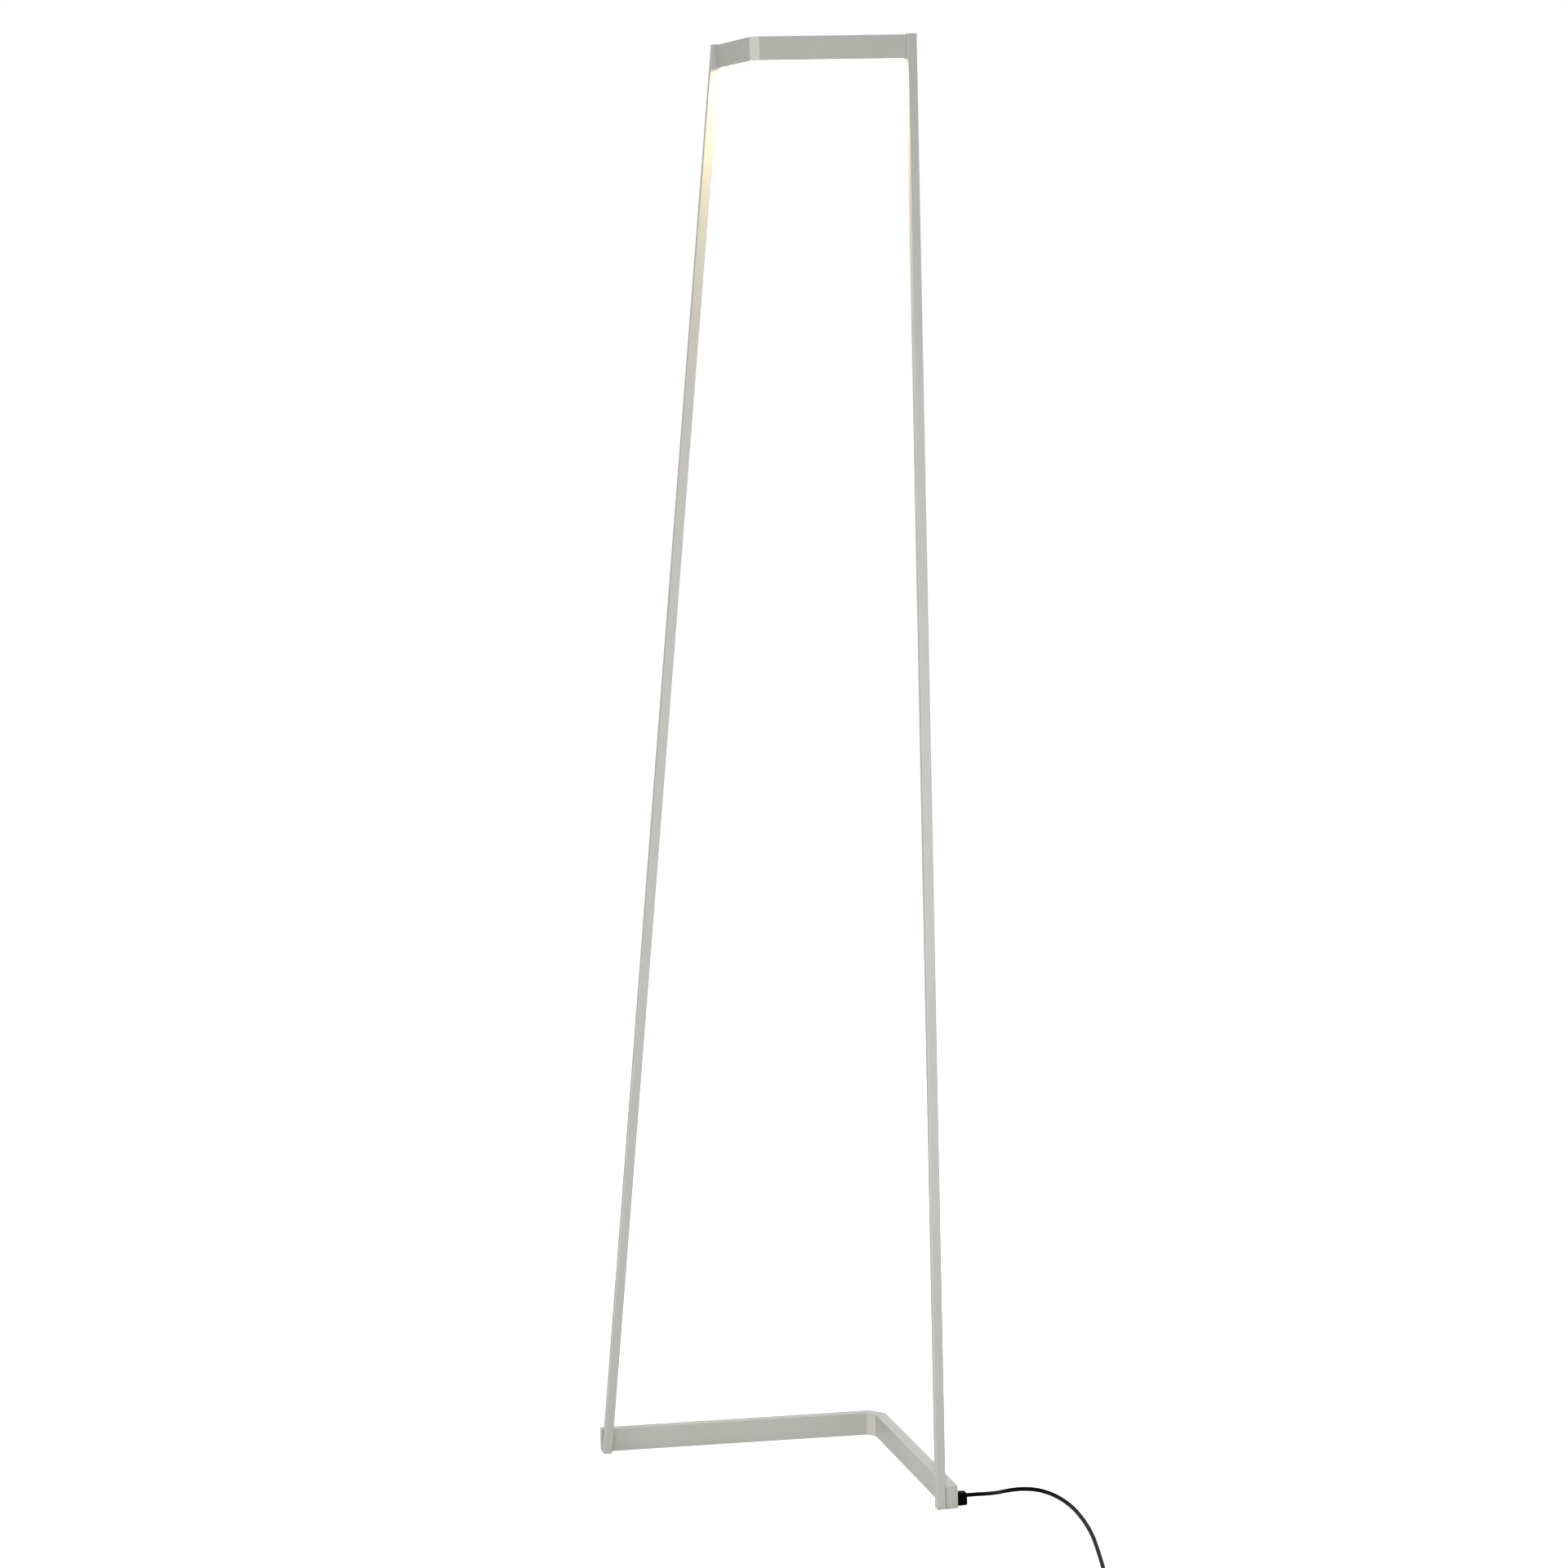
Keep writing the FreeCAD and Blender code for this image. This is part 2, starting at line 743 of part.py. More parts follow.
# Uprights: square tubes with plugs at the floor and caps at the top
half_side = g.upright_side / 2
inner_half = half_side - g.upright_wall - g.seat_gap
tube_left = square_leaning("tube_left", g.upright_side, g.foot_collar, g.lamp_height,
                           g.upright_wall, g.upright_round)
upright_left = cut("upright_left", tube_left, [foot_holes_left, head_holes_left])
keep(upright_left, "upright_left")
upright_right = cut("upright_right", mirrored("tube_right", upright_left),
                    [wire_foot_hole, wire_head_hole])
keep(upright_right, "upright_right")

collar = square_leaning("foot_collar_left", g.upright_side, zero, g.foot_collar)
collar_pad = collar.Tip
chamfer = collar.newObject("PartDesign::Chamfer", "foot_chamfer")
chamfer.Base = (collar_pad, [
    f"Edge{i}" for i, edge in enumerate(collar_pad.Shape.Edges, start=1)
    if edge.BoundBox.ZMax < g.foot_edge.value / 2
])
bind(chamfer, "Size", g.foot_edge)
doc.recompute()
collar_round = collar.newObject("PartDesign::Fillet", "foot_round")
collar_round.Base = (chamfer, [
    f"Edge{i}" for i, edge in enumerate(chamfer.Shape.Edges, start=1)
    if edge.BoundBox.ZLength > g.foot_edge.value * 1.5
])
bind(collar_round, "Radius", g.upright_round)
foot_peg = leaning("foot_peg", -inner_half, inner_half, -inner_half, inner_half,
                   g.foot_collar, g.foot_collar + g.foot_insert)
foot_plug = fuse("foot_plug", [collar, foot_peg])
keep(foot_plug, "foot_plug_left")
keep(mirrored("foot_plug_twin", foot_plug), "foot_plug_right")

top_lid = square_leaning("top_lid", g.upright_side, g.lamp_height, g.lamp_height + g.cap_proud,
                         None, g.upright_round)
top_peg = leaning("top_peg", -inner_half, inner_half, -inner_half, inner_half,
                  g.lamp_height - g.cap_insert, g.lamp_height)
top_plug = fuse("top_plug", [top_lid, top_peg])
keep(top_plug, "top_plug_left")
keep(mirrored("top_plug_twin", top_plug), "top_plug_right")

# Threaded plates inside the uprights
plate_near = inner_half - g.nut_plate_deep
foot_nut = leaning(
    "foot_nut", -inner_half, inner_half, plate_near, inner_half,
    g.base_joint_low - g.nut_plate_margin, g.base_joint_high + g.nut_plate_margin,
)
foot_nut_plate = cut("foot_nut_plate", foot_nut, [foot_holes_left])
keep(foot_nut_plate, "foot_nut_plate_left")
keep(mirrored("foot_nut_twin", foot_nut_plate), "foot_nut_plate_right")
head_nut = leaning(
    "head_nut", plate_near, inner_half, -inner_half, inner_half,
    top_joint_levels[0] - g.nut_plate_margin, top_joint_levels[1] + g.nut_plate_margin,
)
head_nut_plate = cut("head_nut_plate", head_nut, [head_holes_left])
keep(head_nut_plate, "head_nut_plate_left")
keep(mirrored("head_nut_twin", head_nut_plate), "head_nut_plate_right")

# Top frame: a folded channel, open below, with posts for the light carrier
top_body = channel("top_channel", top_vee, top_low, g.bar_height)
top_middle_arm = SimpleNamespace(
    place=FreeCAD.Placement(spot(zero, top_vee.y + top_vee.corner(zero)[1], zero), FreeCAD.Rotation()),
    side=1,
)
carrier_places = [
    (top_left, g.carrier_post_first), (top_right, g.carrier_post_first), (top_middle_arm, zero),
]
carrier_top = carrier_low + g.carrier_thick
carrier_posts = []
carrier_holes = []
carrier_screws = []
for i, (arm, s) in enumerate(carrier_places):
    carrier_posts.append(rod(f"carrier_post_{i}", arm, s, middle_depth, carrier_top, g.post_across,
                             g.lamp_height - g.bar_wall / 2 - carrier_top))
    head_low = carrier_low - g.plate_head_tall
    screw_top = rod(f"carrier_head_{i}", arm, s, middle_depth, head_low,
                    g.plate_head, g.plate_head_tall)
    shank = rod(f"carrier_shank_{i}", arm, s, middle_depth, carrier_low,
                g.plate_screw, g.carrier_screw_length)
    carrier_screws.append(fuse(f"carrier_screw_{i}", [screw_top, shank]))
    carrier_holes.append(rod(f"carrier_hole_{i}", arm, s, middle_depth, head_low, screw_hole,
                             g.carrier_screw_length + g.plate_head_tall + g.overrun))
top_full = fuse("top_full", [top_body] + carrier_posts)
top_frame = cut("top_frame", top_full,
                [top_room_left, top_room_right, head_holes_left, head_holes_right] + carrier_holes)
keep(top_frame, "top_frame")

# End caps of the top V: a closing plate and a block that the upright is screwed to
cap_low = top_low + g.diffuser_lift
cap_t = g.bar_wall + g.seat_gap
cap_plate = block("cap_plate", top_left, zero, cap_t, cap_low,
                  g.end_cap_thick, cap_deep, top_inside_top - cap_low)
cap_solid = block("cap_solid", top_left, zero, cap_t, cap_low, g.cap_block, cap_deep, g.cap_block_tall)
top_cap = cut("top_cap", fuse("top_cap_full", [cap_plate, cap_solid]), [top_room_left, head_holes_left])
keep(top_cap, "top_end_cap_left")
keep(mirrored("top_cap_twin", top_cap), "top_end_cap_right")

# Light: carrier, boards with chips below, and the opal diffuser
carrier_body = band("carrier_body", top_vee, g.bar_wall + g.carrier_gap,
                    g.bar_depth - g.bar_wall - g.carrier_gap, g.carrier_set_back,
                    carrier_low, g.carrier_thick)
keep(cut("light_carrier", carrier_body, carrier_holes), "light_carrier")
keep(group("carrier_screws", carrier_screws), "carrier_screws")
board_low = carrier_low - g.light_board_thick
board_t = middle_depth - g.light_board_wide / 2
top_arm_run = (top_vee.half - g.top_facet / 2) / cosine(top_angle)
light_board_length = top_arm_run - g.light_board_start - g.light_board_end
light_board = block("light_board", top_left, g.light_board_start, board_t, board_low,
                    light_board_length, g.light_board_wide, g.light_board_thick)
keep(light_board, "light_board_left")
keep(mirrored("light_board_twin", light_board), "light_board_right")
chip_pitch = light_board_length / light_chip_count
chips = []
for i in range(light_chip_count):
    place_s = g.light_board_start + chip_pitch * (i + 0.5) - g.light_chip_long / 2
    chips.append(block(f"chip_{i}", top_left, place_s, middle_depth - g.light_chip_wide / 2,
                       board_low - g.light_chip_thick,
                       g.light_chip_long, g.light_chip_wide, g.light_chip_thick))
chip_group = group("light_chips", chips)
keep(chip_group, "light_chips_left")
keep(mirrored("light_chips_twin", chip_group), "light_chips_right")
diffuser = band("diffuser", top_vee, g.bar_wall + g.seat_gap, g.bar_depth - g.bar_wall - g.seat_gap,
                g.cap_block + g.seat_gap, cap_low, g.diffuser_thick)
keep(diffuser, "light_diffuser")

# Driver in the right base arm: tray, cover and board with its parts
driver_t = g.bar_wall + g.driver_gap
driver_deep = g.bar_depth - g.bar_wall * 2 - g.driver_gap * 2
tray_full = block("tray_full", base_right, g.driver_start, driver_t, plate_top,
                  g.driver_length, driver_deep, g.driver_tall)
tray_room = block(
    "tray_room", base_right, g.driver_start + g.driver_wall, driver_t + g.driver_wall,
    plate_top + g.driver_wall, g.driver_length - g.driver_wall * 2,
    driver_deep - g.driver_wall * 2, g.driver_tall,
)
keep(cut("driver_tray", tray_full, [tray_room]), "driver_tray")
keep(block("driver_cover", base_right, g.driver_start, driver_t, plate_top + g.driver_tall,
           g.driver_length, driver_deep, g.driver_wall), "driver_cover")
board_gap = g.driver_wall + g.driver_gap
board_z = plate_top + g.driver_wall
board_deep = driver_deep - board_gap * 2
board_long = g.driver_length - board_gap * 2
foot_rail = block("board_rail", base_right, g.driver_start + board_gap, driver_t + board_gap,
                  board_z, board_long, g.board_thick, g.board_lift)
board = block("board", base_right, g.driver_start + board_gap, driver_t + board_gap,
              board_z + g.board_lift, board_long, board_deep, g.board_thick)
part_z = board_z + g.board_lift + g.board_thick
coil_part = block("coil_part", base_right, g.driver_start + g.driver_length / 2,
                  driver_t + board_gap, part_z, g.coil_part_length, board_deep, g.coil_part_tall)
can_s = g.driver_start + g.driver_length / 4
can_z = part_z + g.can_across / 2 - g.seat_gap
can = rod("can", base_right, can_s, middle_depth, can_z,
          g.can_across, g.can_length, "along")
chip_part = block("chip_part", base_right, g.driver_start + g.driver_length * 3 / 4,
                  driver_t + board_gap, part_z, g.chip_part_length, board_deep, g.chip_part_tall)
keep(fuse("driver_board", [foot_rail, board, coil_part, can, chip_part]), "driver_board")
keep(block("terminal_block", base_right, g.terminal_start, middle_depth - g.terminal_deep / 2,
           plate_top, g.terminal_length, g.terminal_deep, g.terminal_tall), "terminal_block")

# Cord grip on the outer face of the right arm, with its nut inside
grip_box = block("grip_box", base_right, g.grip_start, g.bar_depth, g.grip_foot,
                 g.grip_length, g.grip_out, g.grip_tall)
doc.recompute()
grip_rounded = doc.addObject("Part::Fillet", "grip_rounded")
grip_rounded.Base = grip_box
outward = base_right.place.Rotation.multVec(FreeCAD.Vector(0, base_right.side, 0))
face_reach = base_right.place.Base.dot(outward) + g.bar_depth.value
grip_rounded.Edges = [
    (i, g.grip_round.value, g.grip_round.value)
    for i, edge in enumerate(grip_box.Shape.Edges, start=1)
    if edge.CenterOfMass.dot(outward) > face_reach + g.grip_round.value
]
stub = rod("grip_stub", base_right, grip_s, stub_start, grip_z,
           g.grip_stub, g.bar_depth - stub_start, "deep")
keep(fuse("cord_grip", [grip_rounded, stub]), "cord_grip")
nut_start = g.bar_depth - g.bar_wall - g.grip_nut_thick
nut_full = rod("grip_nut_full", base_right, grip_s, nut_start, grip_z,
               g.grip_nut, g.grip_nut_thick, "deep")
keep(cut("cord_grip_nut", nut_full, [grip_hole]), "cord_grip_nut")


# Tubes along a path of straight runs and tangent arcs
def arc_between(start, corner, end):
    chord_middle = (start + end) * 0.5
    leg = (corner - start).Length
    bend = (chord_middle - start).Length / leg
    through = chord_middle + (corner - chord_middle) * (bend / (1 + bend))
    return Part.Arc(start, through, end).toShape()


def rounded_path(points):
    edges = []
    radii = []
    here = points[0]
    for before, corner, after in zip(points, points[1:], points[2:]):
        shorter = min((corner - before).Length, (after - corner).Length)
        half_turn = (corner - before).getAngle(after - corner) / 2
        leg = 0.45 * shorter
        start = corner + (before - corner).normalize() * leg
        end = corner + (after - corner).normalize() * leg
        edges.append(Part.LineSegment(here, start).toShape())
        edges.append(arc_between(start, corner, end))
        radii.append(leg / math.tan(half_turn))
        here = end
    edges.append(Part.LineSegment(here, points[-1]).toShape())
    return edges, radii


def tube_along(edges, across):
    path = Part.Wire(edges)
    first = edges[0]
    start = first.valueAt(first.FirstParameter)
    aim = first.tangentAt(first.FirstParameter)
    ring = Part.Wire([Part.Circle(start, aim, across / 2).toShape()])
    return path.makePipeShell([ring], True, False), path.Length


def tube(name, points, across, report=True):
    edges, radii = rounded_path(points)
    shape, length = tube_along(edges, across)
    item = doc.addObject("Part::Feature", name)
    item.Shape = shape
    keep(item, name)
    ratio = shape.Volume / (math.pi * across ** 2 / 4 * length)
    print(f"{name}: length {length:.1f}, volume / (section x length) {ratio:.5f}")
    if report:
        print("  radii", [round(r, 1) for r in radii])
    return item


def route_points(route):
    return [FreeCAD.Vector(*point) for point in route]


# Inner lead from the grip to the terminals, and the wire from the driver up to the light
lead_z = plate_top + g.terminal_tall / 2
lead_side = g.bar_wall + g.lead_across / 2 + g.seat_gap
lead_points = [
    on_arm(base_right, grip_s, stub_start, grip_z).Base,
    on_arm(base_right, grip_s, stub_start - g.lead_across * 1.5, grip_z).Base,
    on_arm(base_right, grip_s + g.lead_across * 1.5, lead_side, lead_z).Base,
    on_arm(base_right, g.post_first + g.post_across, lead_side, lead_z).Base,
    on_arm(base_right, g.terminal_start - g.lead_across * 1.6, middle_depth, lead_z).Base,
    on_arm(base_right, g.terminal_start, middle_depth, lead_z).Base,
]
tube("mains_lead", lead_points, g.lead_across.value)

wire_start = g.driver_start + g.driver_wall * 3
wire_rest = plate_top + g.driver_tall + g.driver_wall + g.wire_across / 2
wire_end_z = carrier_top + g.wire_across / 2 + g.seat_gap
wire_back = g.bar_depth - g.wire_side
wire_points = [
    on_arm(base_right, wire_start, g.wire_side, wire_rest).Base,
    on_arm(base_right, g.driver_start, g.wire_side, wire_rest).Base,
    on_arm(base_right, g.driver_start - g.wire_across * 6, g.wire_side, g.wire_base_level).Base,
    on_arm(base_right, foot_inside.x + g.wire_across.value * 3, g.wire_side, g.wire_base_level).Base,
    on_arm(base_right, foot_inside.x, g.bar_wall + g.wire_across / 2, g.wire_base_level).Base,
    in_tube(g.wire_base_level),
    in_tube(head_level),
    on_arm(top_right, head_inside.x, middle_depth + g.wire_across, head_level).Base,
    on_arm(top_right, head_inside.x + g.wire_across.value * 4, wire_back, head_level).Base,
    on_arm(top_right, g.light_board_start, wire_back, wire_end_z).Base,
    on_arm(top_right, g.light_board_start + g.wire_across * 4, wire_back, wire_end_z).Base,
]
tube("light_wire", wire_points, g.wire_across.value)

# The cord that lies free
cord_across = g.cord_across.value
tube("cord_run", route_points(run_route), cord_across)
tube("cord_link", route_points(link_route), cord_across)
tube("cord_tail", route_points(tail_route), cord_across)
exit_point = on_arm(base_right, grip_s, g.bar_depth + g.grip_out, zero).Base
print("grip face at", [round(v, 2) for v in exit_point])

# Coil: spirals in on the floor, climbs a layer where it reverses and spirals out on top
lay = FreeCAD.Placement(spot(g.switch_x, g.switch_y, zero), turned(g.lay_turn))
coil_centre = lay.multVec(spot(g.coil_along, g.coil_across, zero))
full_turns = coil_turns_per_layer * 2


def coil_point(turns):
    inward = min(turns, full_turns - turns)
    radius = g.coil_outer_turn.value - g.coil_step.value * inward
    climb = min(max((turns - coil_turns_per_layer) * 2 + 0.5, 0), 1)
    angle = 2 * math.pi * turns - math.pi / 2
    level = g.coil_level.value + g.coil_step.value * climb
    local = FreeCAD.Vector(radius * math.cos(angle), radius * math.sin(angle), level)
    return coil_centre + lay.Rotation.multVec(local)


def coil_aim(turns):
    quarter = 1 / coil_steps_per_turn
    angle = 2 * math.pi * turns
    aim = FreeCAD.Vector(math.cos(angle), math.sin(angle), 0)
    inward = min(turns, full_turns - turns)
    radius = g.coil_outer_turn.value - g.coil_step.value * inward
    slope = g.coil_step.value / (2 * math.pi * radius)
    if turns in (0, full_turns, coil_turns_per_layer):
        slope = 0
    side = FreeCAD.Vector(-math.sin(angle), math.cos(angle), 0)
    if turns > coil_turns_per_layer:
        slope = -slope
    aim = aim + side * slope
    if abs(turns - coil_turns_per_layer) < quarter:
        aim = aim + up * (1.5 * g.coil_step.value / (math.pi * radius))
    return lay.Rotation.multVec(aim).normalize()


def two_arcs(start, start_aim, end, end_aim):
    across = end - start
    both = start_aim + end_aim
    spread = 4 - both.dot(both)
    ahead = across.dot(both)
    leg = (math.sqrt(ahead ** 2 + spread * across.dot(across)) - ahead) / spread
    first = start + start_aim * leg
    second = end - end_aim * leg
    joint = (first + second) * 0.5
    return [arc_between(start, first, joint), arc_between(joint, second, end)]


coil_lead = lay.Rotation.multVec(FreeCAD.Vector(cord_across, 0, 0))
steps = [i / coil_steps_per_turn for i in range(full_turns * coil_steps_per_turn + 1)]
coil_edges = [Part.LineSegment(coil_point(0) - coil_lead, coil_point(0)).toShape()]
for a, b in zip(steps, steps[1:]):
    coil_edges += two_arcs(coil_point(a), coil_aim(a), coil_point(b), coil_aim(b))
coil_edges.append(Part.LineSegment(coil_point(full_turns), coil_point(full_turns) + coil_lead).toShape())
coil_shape, coil_length = tube_along(coil_edges, cord_across)
coil = doc.addObject("Part::Feature", "cord_coil")
coil.Shape = coil_shape
keep(coil, "cord_coil")
ratio = coil_shape.Volume / (math.pi * cord_across ** 2 / 4 * coil_length)
print(f"cord_coil: length {coil_length:.1f}, volume / (section x length) {ratio:.5f}")

samples = []
for edge in coil_edges:
    count = max(2, round(edge.Length))
    samples += edge.discretize(count + 1)[:-1]
step = coil_length / len(samples)
skip = math.ceil(cord_across * 2 / step)
least = min(
    (a - b).Length for i, a in enumerate(samples) for b in samples[i + skip:]
)
print(f"cord_coil: least gap to itself {least - cord_across:.2f}")

# Tie round the coil's far side
coil_inner = g.coil_outer_turn - g.coil_step * coil_turns_per_layer
tie_low_r = coil_inner + g.coil_step / 2 - g.cord_across / 2 - g.tie_inner_slack
tie_high_r = g.coil_outer_turn - g.coil_step / 2 + g.cord_across / 2 + g.tie_gap
tie_low_z = g.coil_level - g.cord_across / 2 - g.tie_gap
tie_high_z = g.coil_level + g.coil_step + g.cord_across / 2 + g.tie_gap
tie_arm = SimpleNamespace(place=FreeCAD.Placement(coil_centre, turned(g.lay_turn)), side=1)
tie_full = block("tie_full", tie_arm, -g.tie_wide / 2, tie_low_r - g.tie_thick,
                 tie_low_z - g.tie_thick, g.tie_wide, tie_high_r - tie_low_r + g.tie_thick * 2,
                 tie_high_z - tie_low_z + g.tie_thick * 2)
tie_room = block("tie_room", tie_arm, -g.tie_wide, tie_low_r, tie_low_z, g.tie_wide * 2,
                 tie_high_r - tie_low_r, tie_high_z - tie_low_z)
keep(cut("coil_tie", tie_full, [tie_room]), "coil_tie")

# In-line switch
switch_arm = SimpleNamespace(place=lay, side=1)


def long_body(name, long, wide, corner, low, tall):
    full = block(name, switch_arm, -long / 2, -wide / 2, low, long, wide, tall)
    doc.recompute()
    rounded = doc.addObject("Part::Fillet", name + "_round")
    rounded.Base = full
    rounded.Edges = [
        (i, corner.value, corner.value) for i, edge in enumerate(full.Shape.Edges, start=1)
        if edge.BoundBox.ZLength > as_size(tall).value / 2
    ]
    return rounded


inner_long = g.switch_long - g.switch_wall * 2
inner_wide = g.switch_wide - g.switch_wall * 2
inner_corner = g.switch_round - g.switch_wall
upper_tall = g.switch_tall - g.switch_half
window_across = g.button_across + g.button_gap * 2
lower_outer = long_body("lower_outer", g.switch_long, g.switch_wide, g.switch_round,
                        zero, g.switch_half)
lower_inner = long_body("lower_inner", inner_long, inner_wide, inner_corner,
                        g.switch_wall, g.switch_half)
upper_outer = long_body("upper_outer", g.switch_long, g.switch_wide, g.switch_round,
                        g.switch_half, upper_tall)
upper_inner = long_body("upper_inner", inner_long, inner_wide, inner_corner,
                        g.switch_half - g.overrun, upper_tall - g.switch_wall + g.overrun)
doc.recompute()
upper_eased = doc.addObject("Part::Fillet", "upper_eased")
upper_eased.Base = upper_outer
upper_eased.Edges = [
    (i, g.switch_edge.value, g.switch_edge.value)
    for i, edge in enumerate(upper_outer.Shape.Edges, start=1)
    if edge.BoundBox.ZMin > g.switch_tall.value - g.switch_edge.value
]
lower_posts = []
upper_posts = []
switch_holes = []
switch_screws = []
for i, place_s in enumerate((-g.switch_screw_place, g.switch_screw_place)):
    head_low = g.seat_gap * 4
    head = rod(f"switch_head_{i}", switch_arm, place_s, zero, head_low,
               g.switch_head, g.switch_head_tall)
    shank = rod(f"switch_shank_{i}", switch_arm, place_s, zero, head_low + g.switch_head_tall,
                g.switch_screw, g.switch_screw_length)
    switch_screws.append(fuse(f"switch_screw_{i}", [head, shank]))
    wider = g.screw_clearance * 2
    sink = rod(f"switch_sink_{i}", switch_arm, place_s, zero, -g.overrun,
               g.switch_head + wider, head_low + g.switch_head_tall + g.overrun)
    hole = rod(f"switch_hole_{i}", switch_arm, place_s, zero, -g.overrun, g.switch_screw + wider,
               head_low + g.switch_head_tall + g.switch_screw_length + g.overrun * 2)
    switch_holes.append(fuse(f"switch_screw_hole_{i}", [sink, hole]))
    lower_posts.append(rod(f"lower_post_{i}", switch_arm, place_s, zero, g.switch_wall / 2,
                           g.switch_post, g.switch_half - g.switch_wall / 2))
    upper_posts.append(rod(f"upper_post_{i}", switch_arm, place_s, zero, g.switch_half,
                           g.switch_post, upper_tall - g.switch_wall / 2))
lower_shell = cut("lower_shell", lower_outer, [lower_inner])
lower_full = fuse("lower_full", [lower_shell] + lower_posts)
keep(cut("switch_lower", lower_full, switch_holes), "switch_lower_case")
window = rod("window", switch_arm, zero, zero, g.switch_half, window_across,
             upper_tall + g.overrun)
upper_shell = cut("upper_shell", upper_eased, [upper_inner])
upper_full = fuse("upper_full", [upper_shell] + upper_posts)
keep(cut("switch_upper", upper_full, switch_holes + [window]), "switch_upper_case")
keep(group("switch_screws", switch_screws), "switch_screws")
contact_low = g.switch_wall
contact_top = contact_low + g.contact_tall
keep(block("switch_contacts", switch_arm, -g.contact_long / 2, -g.contact_wide / 2, contact_low,
           g.contact_long, g.contact_wide, g.contact_tall), "switch_contacts")
flange_top = g.switch_tall - g.switch_wall - g.button_gap
flange_low = flange_top - g.button_flange_thick
button_flange = rod("button_flange", switch_arm, zero, zero, flange_low,
                    g.button_flange, g.button_flange_thick)
button_cap = rod("button_cap", switch_arm, zero, zero, flange_low, g.button_across,
                 g.switch_tall + g.button_proud - flange_low)
button_stem = rod("button_stem", switch_arm, zero, zero, flange_low - g.button_stem_drop,
                  g.button_stem, g.button_stem_drop + g.button_flange_thick)
keep(fuse("switch_button", [button_flange, button_cap, button_stem]), "switch_button")
spring_full = rod("spring_full", switch_arm, zero, zero, contact_top,
                  g.spring_across, flange_low - contact_top)
spring_room = rod("spring_room", switch_arm, zero, zero, contact_top - g.overrun,
                  g.spring_bore, flange_low - contact_top + g.overrun * 2)
keep(cut("switch_spring", spring_full, [spring_room]), "switch_spring")

# Plug, lying flat with its neck towards the coil
plug_place = FreeCAD.Placement(lay.multVec(spot(g.plug_along, g.plug_across, zero)), turned(g.lay_turn))
plug_arm = SimpleNamespace(place=plug_place, side=1)
plug = doc.addObject("PartDesign::Body", "plug")
plug_sketch = new_sketch(plug, "plug_outline")
neck = g.plug_neck / 2
wide = g.plug_wide / 2
shoulder = g.plug_taper + g.plug_straight
mouth = wide - g.plug_edge
left_side = [
    (zero, -neck), (g.plug_taper, -wide), (shoulder, -wide), (g.plug_long, -mouth),
]
outline(plug_sketch, left_side + [(x, -y) for x, y in reversed(left_side)])
plug_pad = raise_pad(plug, plug_sketch, "plug_pad", g.plug_thick)
plug.Placement = plug_place
doc.recompute()
plug_fillet = plug.newObject("PartDesign::Fillet", "plug_round")
plug_fillet.Base = (plug_pad, [
    f"Edge{i}" for i, edge in enumerate(plug_pad.Shape.Edges, start=1)
    if edge.BoundBox.ZLength < g.plug_edge.value and edge.BoundBox.XLength > g.plug_edge.value
])
bind(plug_fillet, "Radius", g.plug_edge)
keep(plug, "plug_body")
pins = []
for i, place_t in enumerate((-g.pin_spacing / 2, g.pin_spacing / 2)):
    straight = g.pin_long - g.pin_edge
    pin = rod(f"pin_{i}", plug_arm, g.plug_long, place_t, g.plug_thick / 2,
              g.pin_across, straight, "along")
    tip = taper(f"pin_tip_{i}", plug_arm, g.plug_long + straight, place_t, g.plug_thick / 2,
                g.pin_across, g.pin_across - g.pin_edge * 2, g.pin_edge, "along")
    pins.append(fuse(f"plug_pin_{i}", [pin, tip]))
keep(group("plug_pins", pins), "plug_pins")

# Check and write
doc.recompute()
bad = []
for item in doc.Objects:
    state = " ".join(item.State)
    if "Invalid" in state or "Error" in state:
        bad.append(f"{item.Name}: {state}")
for item in nodes:
    if item.Shape.isNull() or not item.Shape.isValid():
        bad.append(f"{item.Label}: shape")
if bad:
    raise SystemExit("failed: " + "; ".join(bad))
os.makedirs("parts", exist_ok=True)
for item in nodes:
    item.Shape.exportStep(f"parts/{item.Label}.step")
print(len(nodes), "nodes")
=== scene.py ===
import json
import math

import bpy
from mathutils import Matrix, Vector


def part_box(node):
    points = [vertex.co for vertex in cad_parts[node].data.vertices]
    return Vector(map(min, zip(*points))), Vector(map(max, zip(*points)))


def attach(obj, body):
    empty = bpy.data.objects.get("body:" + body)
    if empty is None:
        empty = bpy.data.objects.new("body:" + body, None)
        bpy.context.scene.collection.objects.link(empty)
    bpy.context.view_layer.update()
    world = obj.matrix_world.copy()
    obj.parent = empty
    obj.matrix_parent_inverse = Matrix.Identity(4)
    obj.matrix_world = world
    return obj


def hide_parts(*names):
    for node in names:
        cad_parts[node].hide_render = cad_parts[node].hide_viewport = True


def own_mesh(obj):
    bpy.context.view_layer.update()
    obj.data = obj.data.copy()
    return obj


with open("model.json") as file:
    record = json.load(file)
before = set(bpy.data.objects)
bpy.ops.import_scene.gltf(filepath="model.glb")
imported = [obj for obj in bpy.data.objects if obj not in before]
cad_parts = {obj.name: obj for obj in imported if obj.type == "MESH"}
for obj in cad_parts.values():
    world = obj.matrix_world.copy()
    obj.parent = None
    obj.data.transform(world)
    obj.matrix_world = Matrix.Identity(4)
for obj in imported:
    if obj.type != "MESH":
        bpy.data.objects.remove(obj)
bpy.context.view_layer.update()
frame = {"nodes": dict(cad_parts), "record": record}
nodes = frame["nodes"]
print("frame loaded:", len(nodes), "nodes")


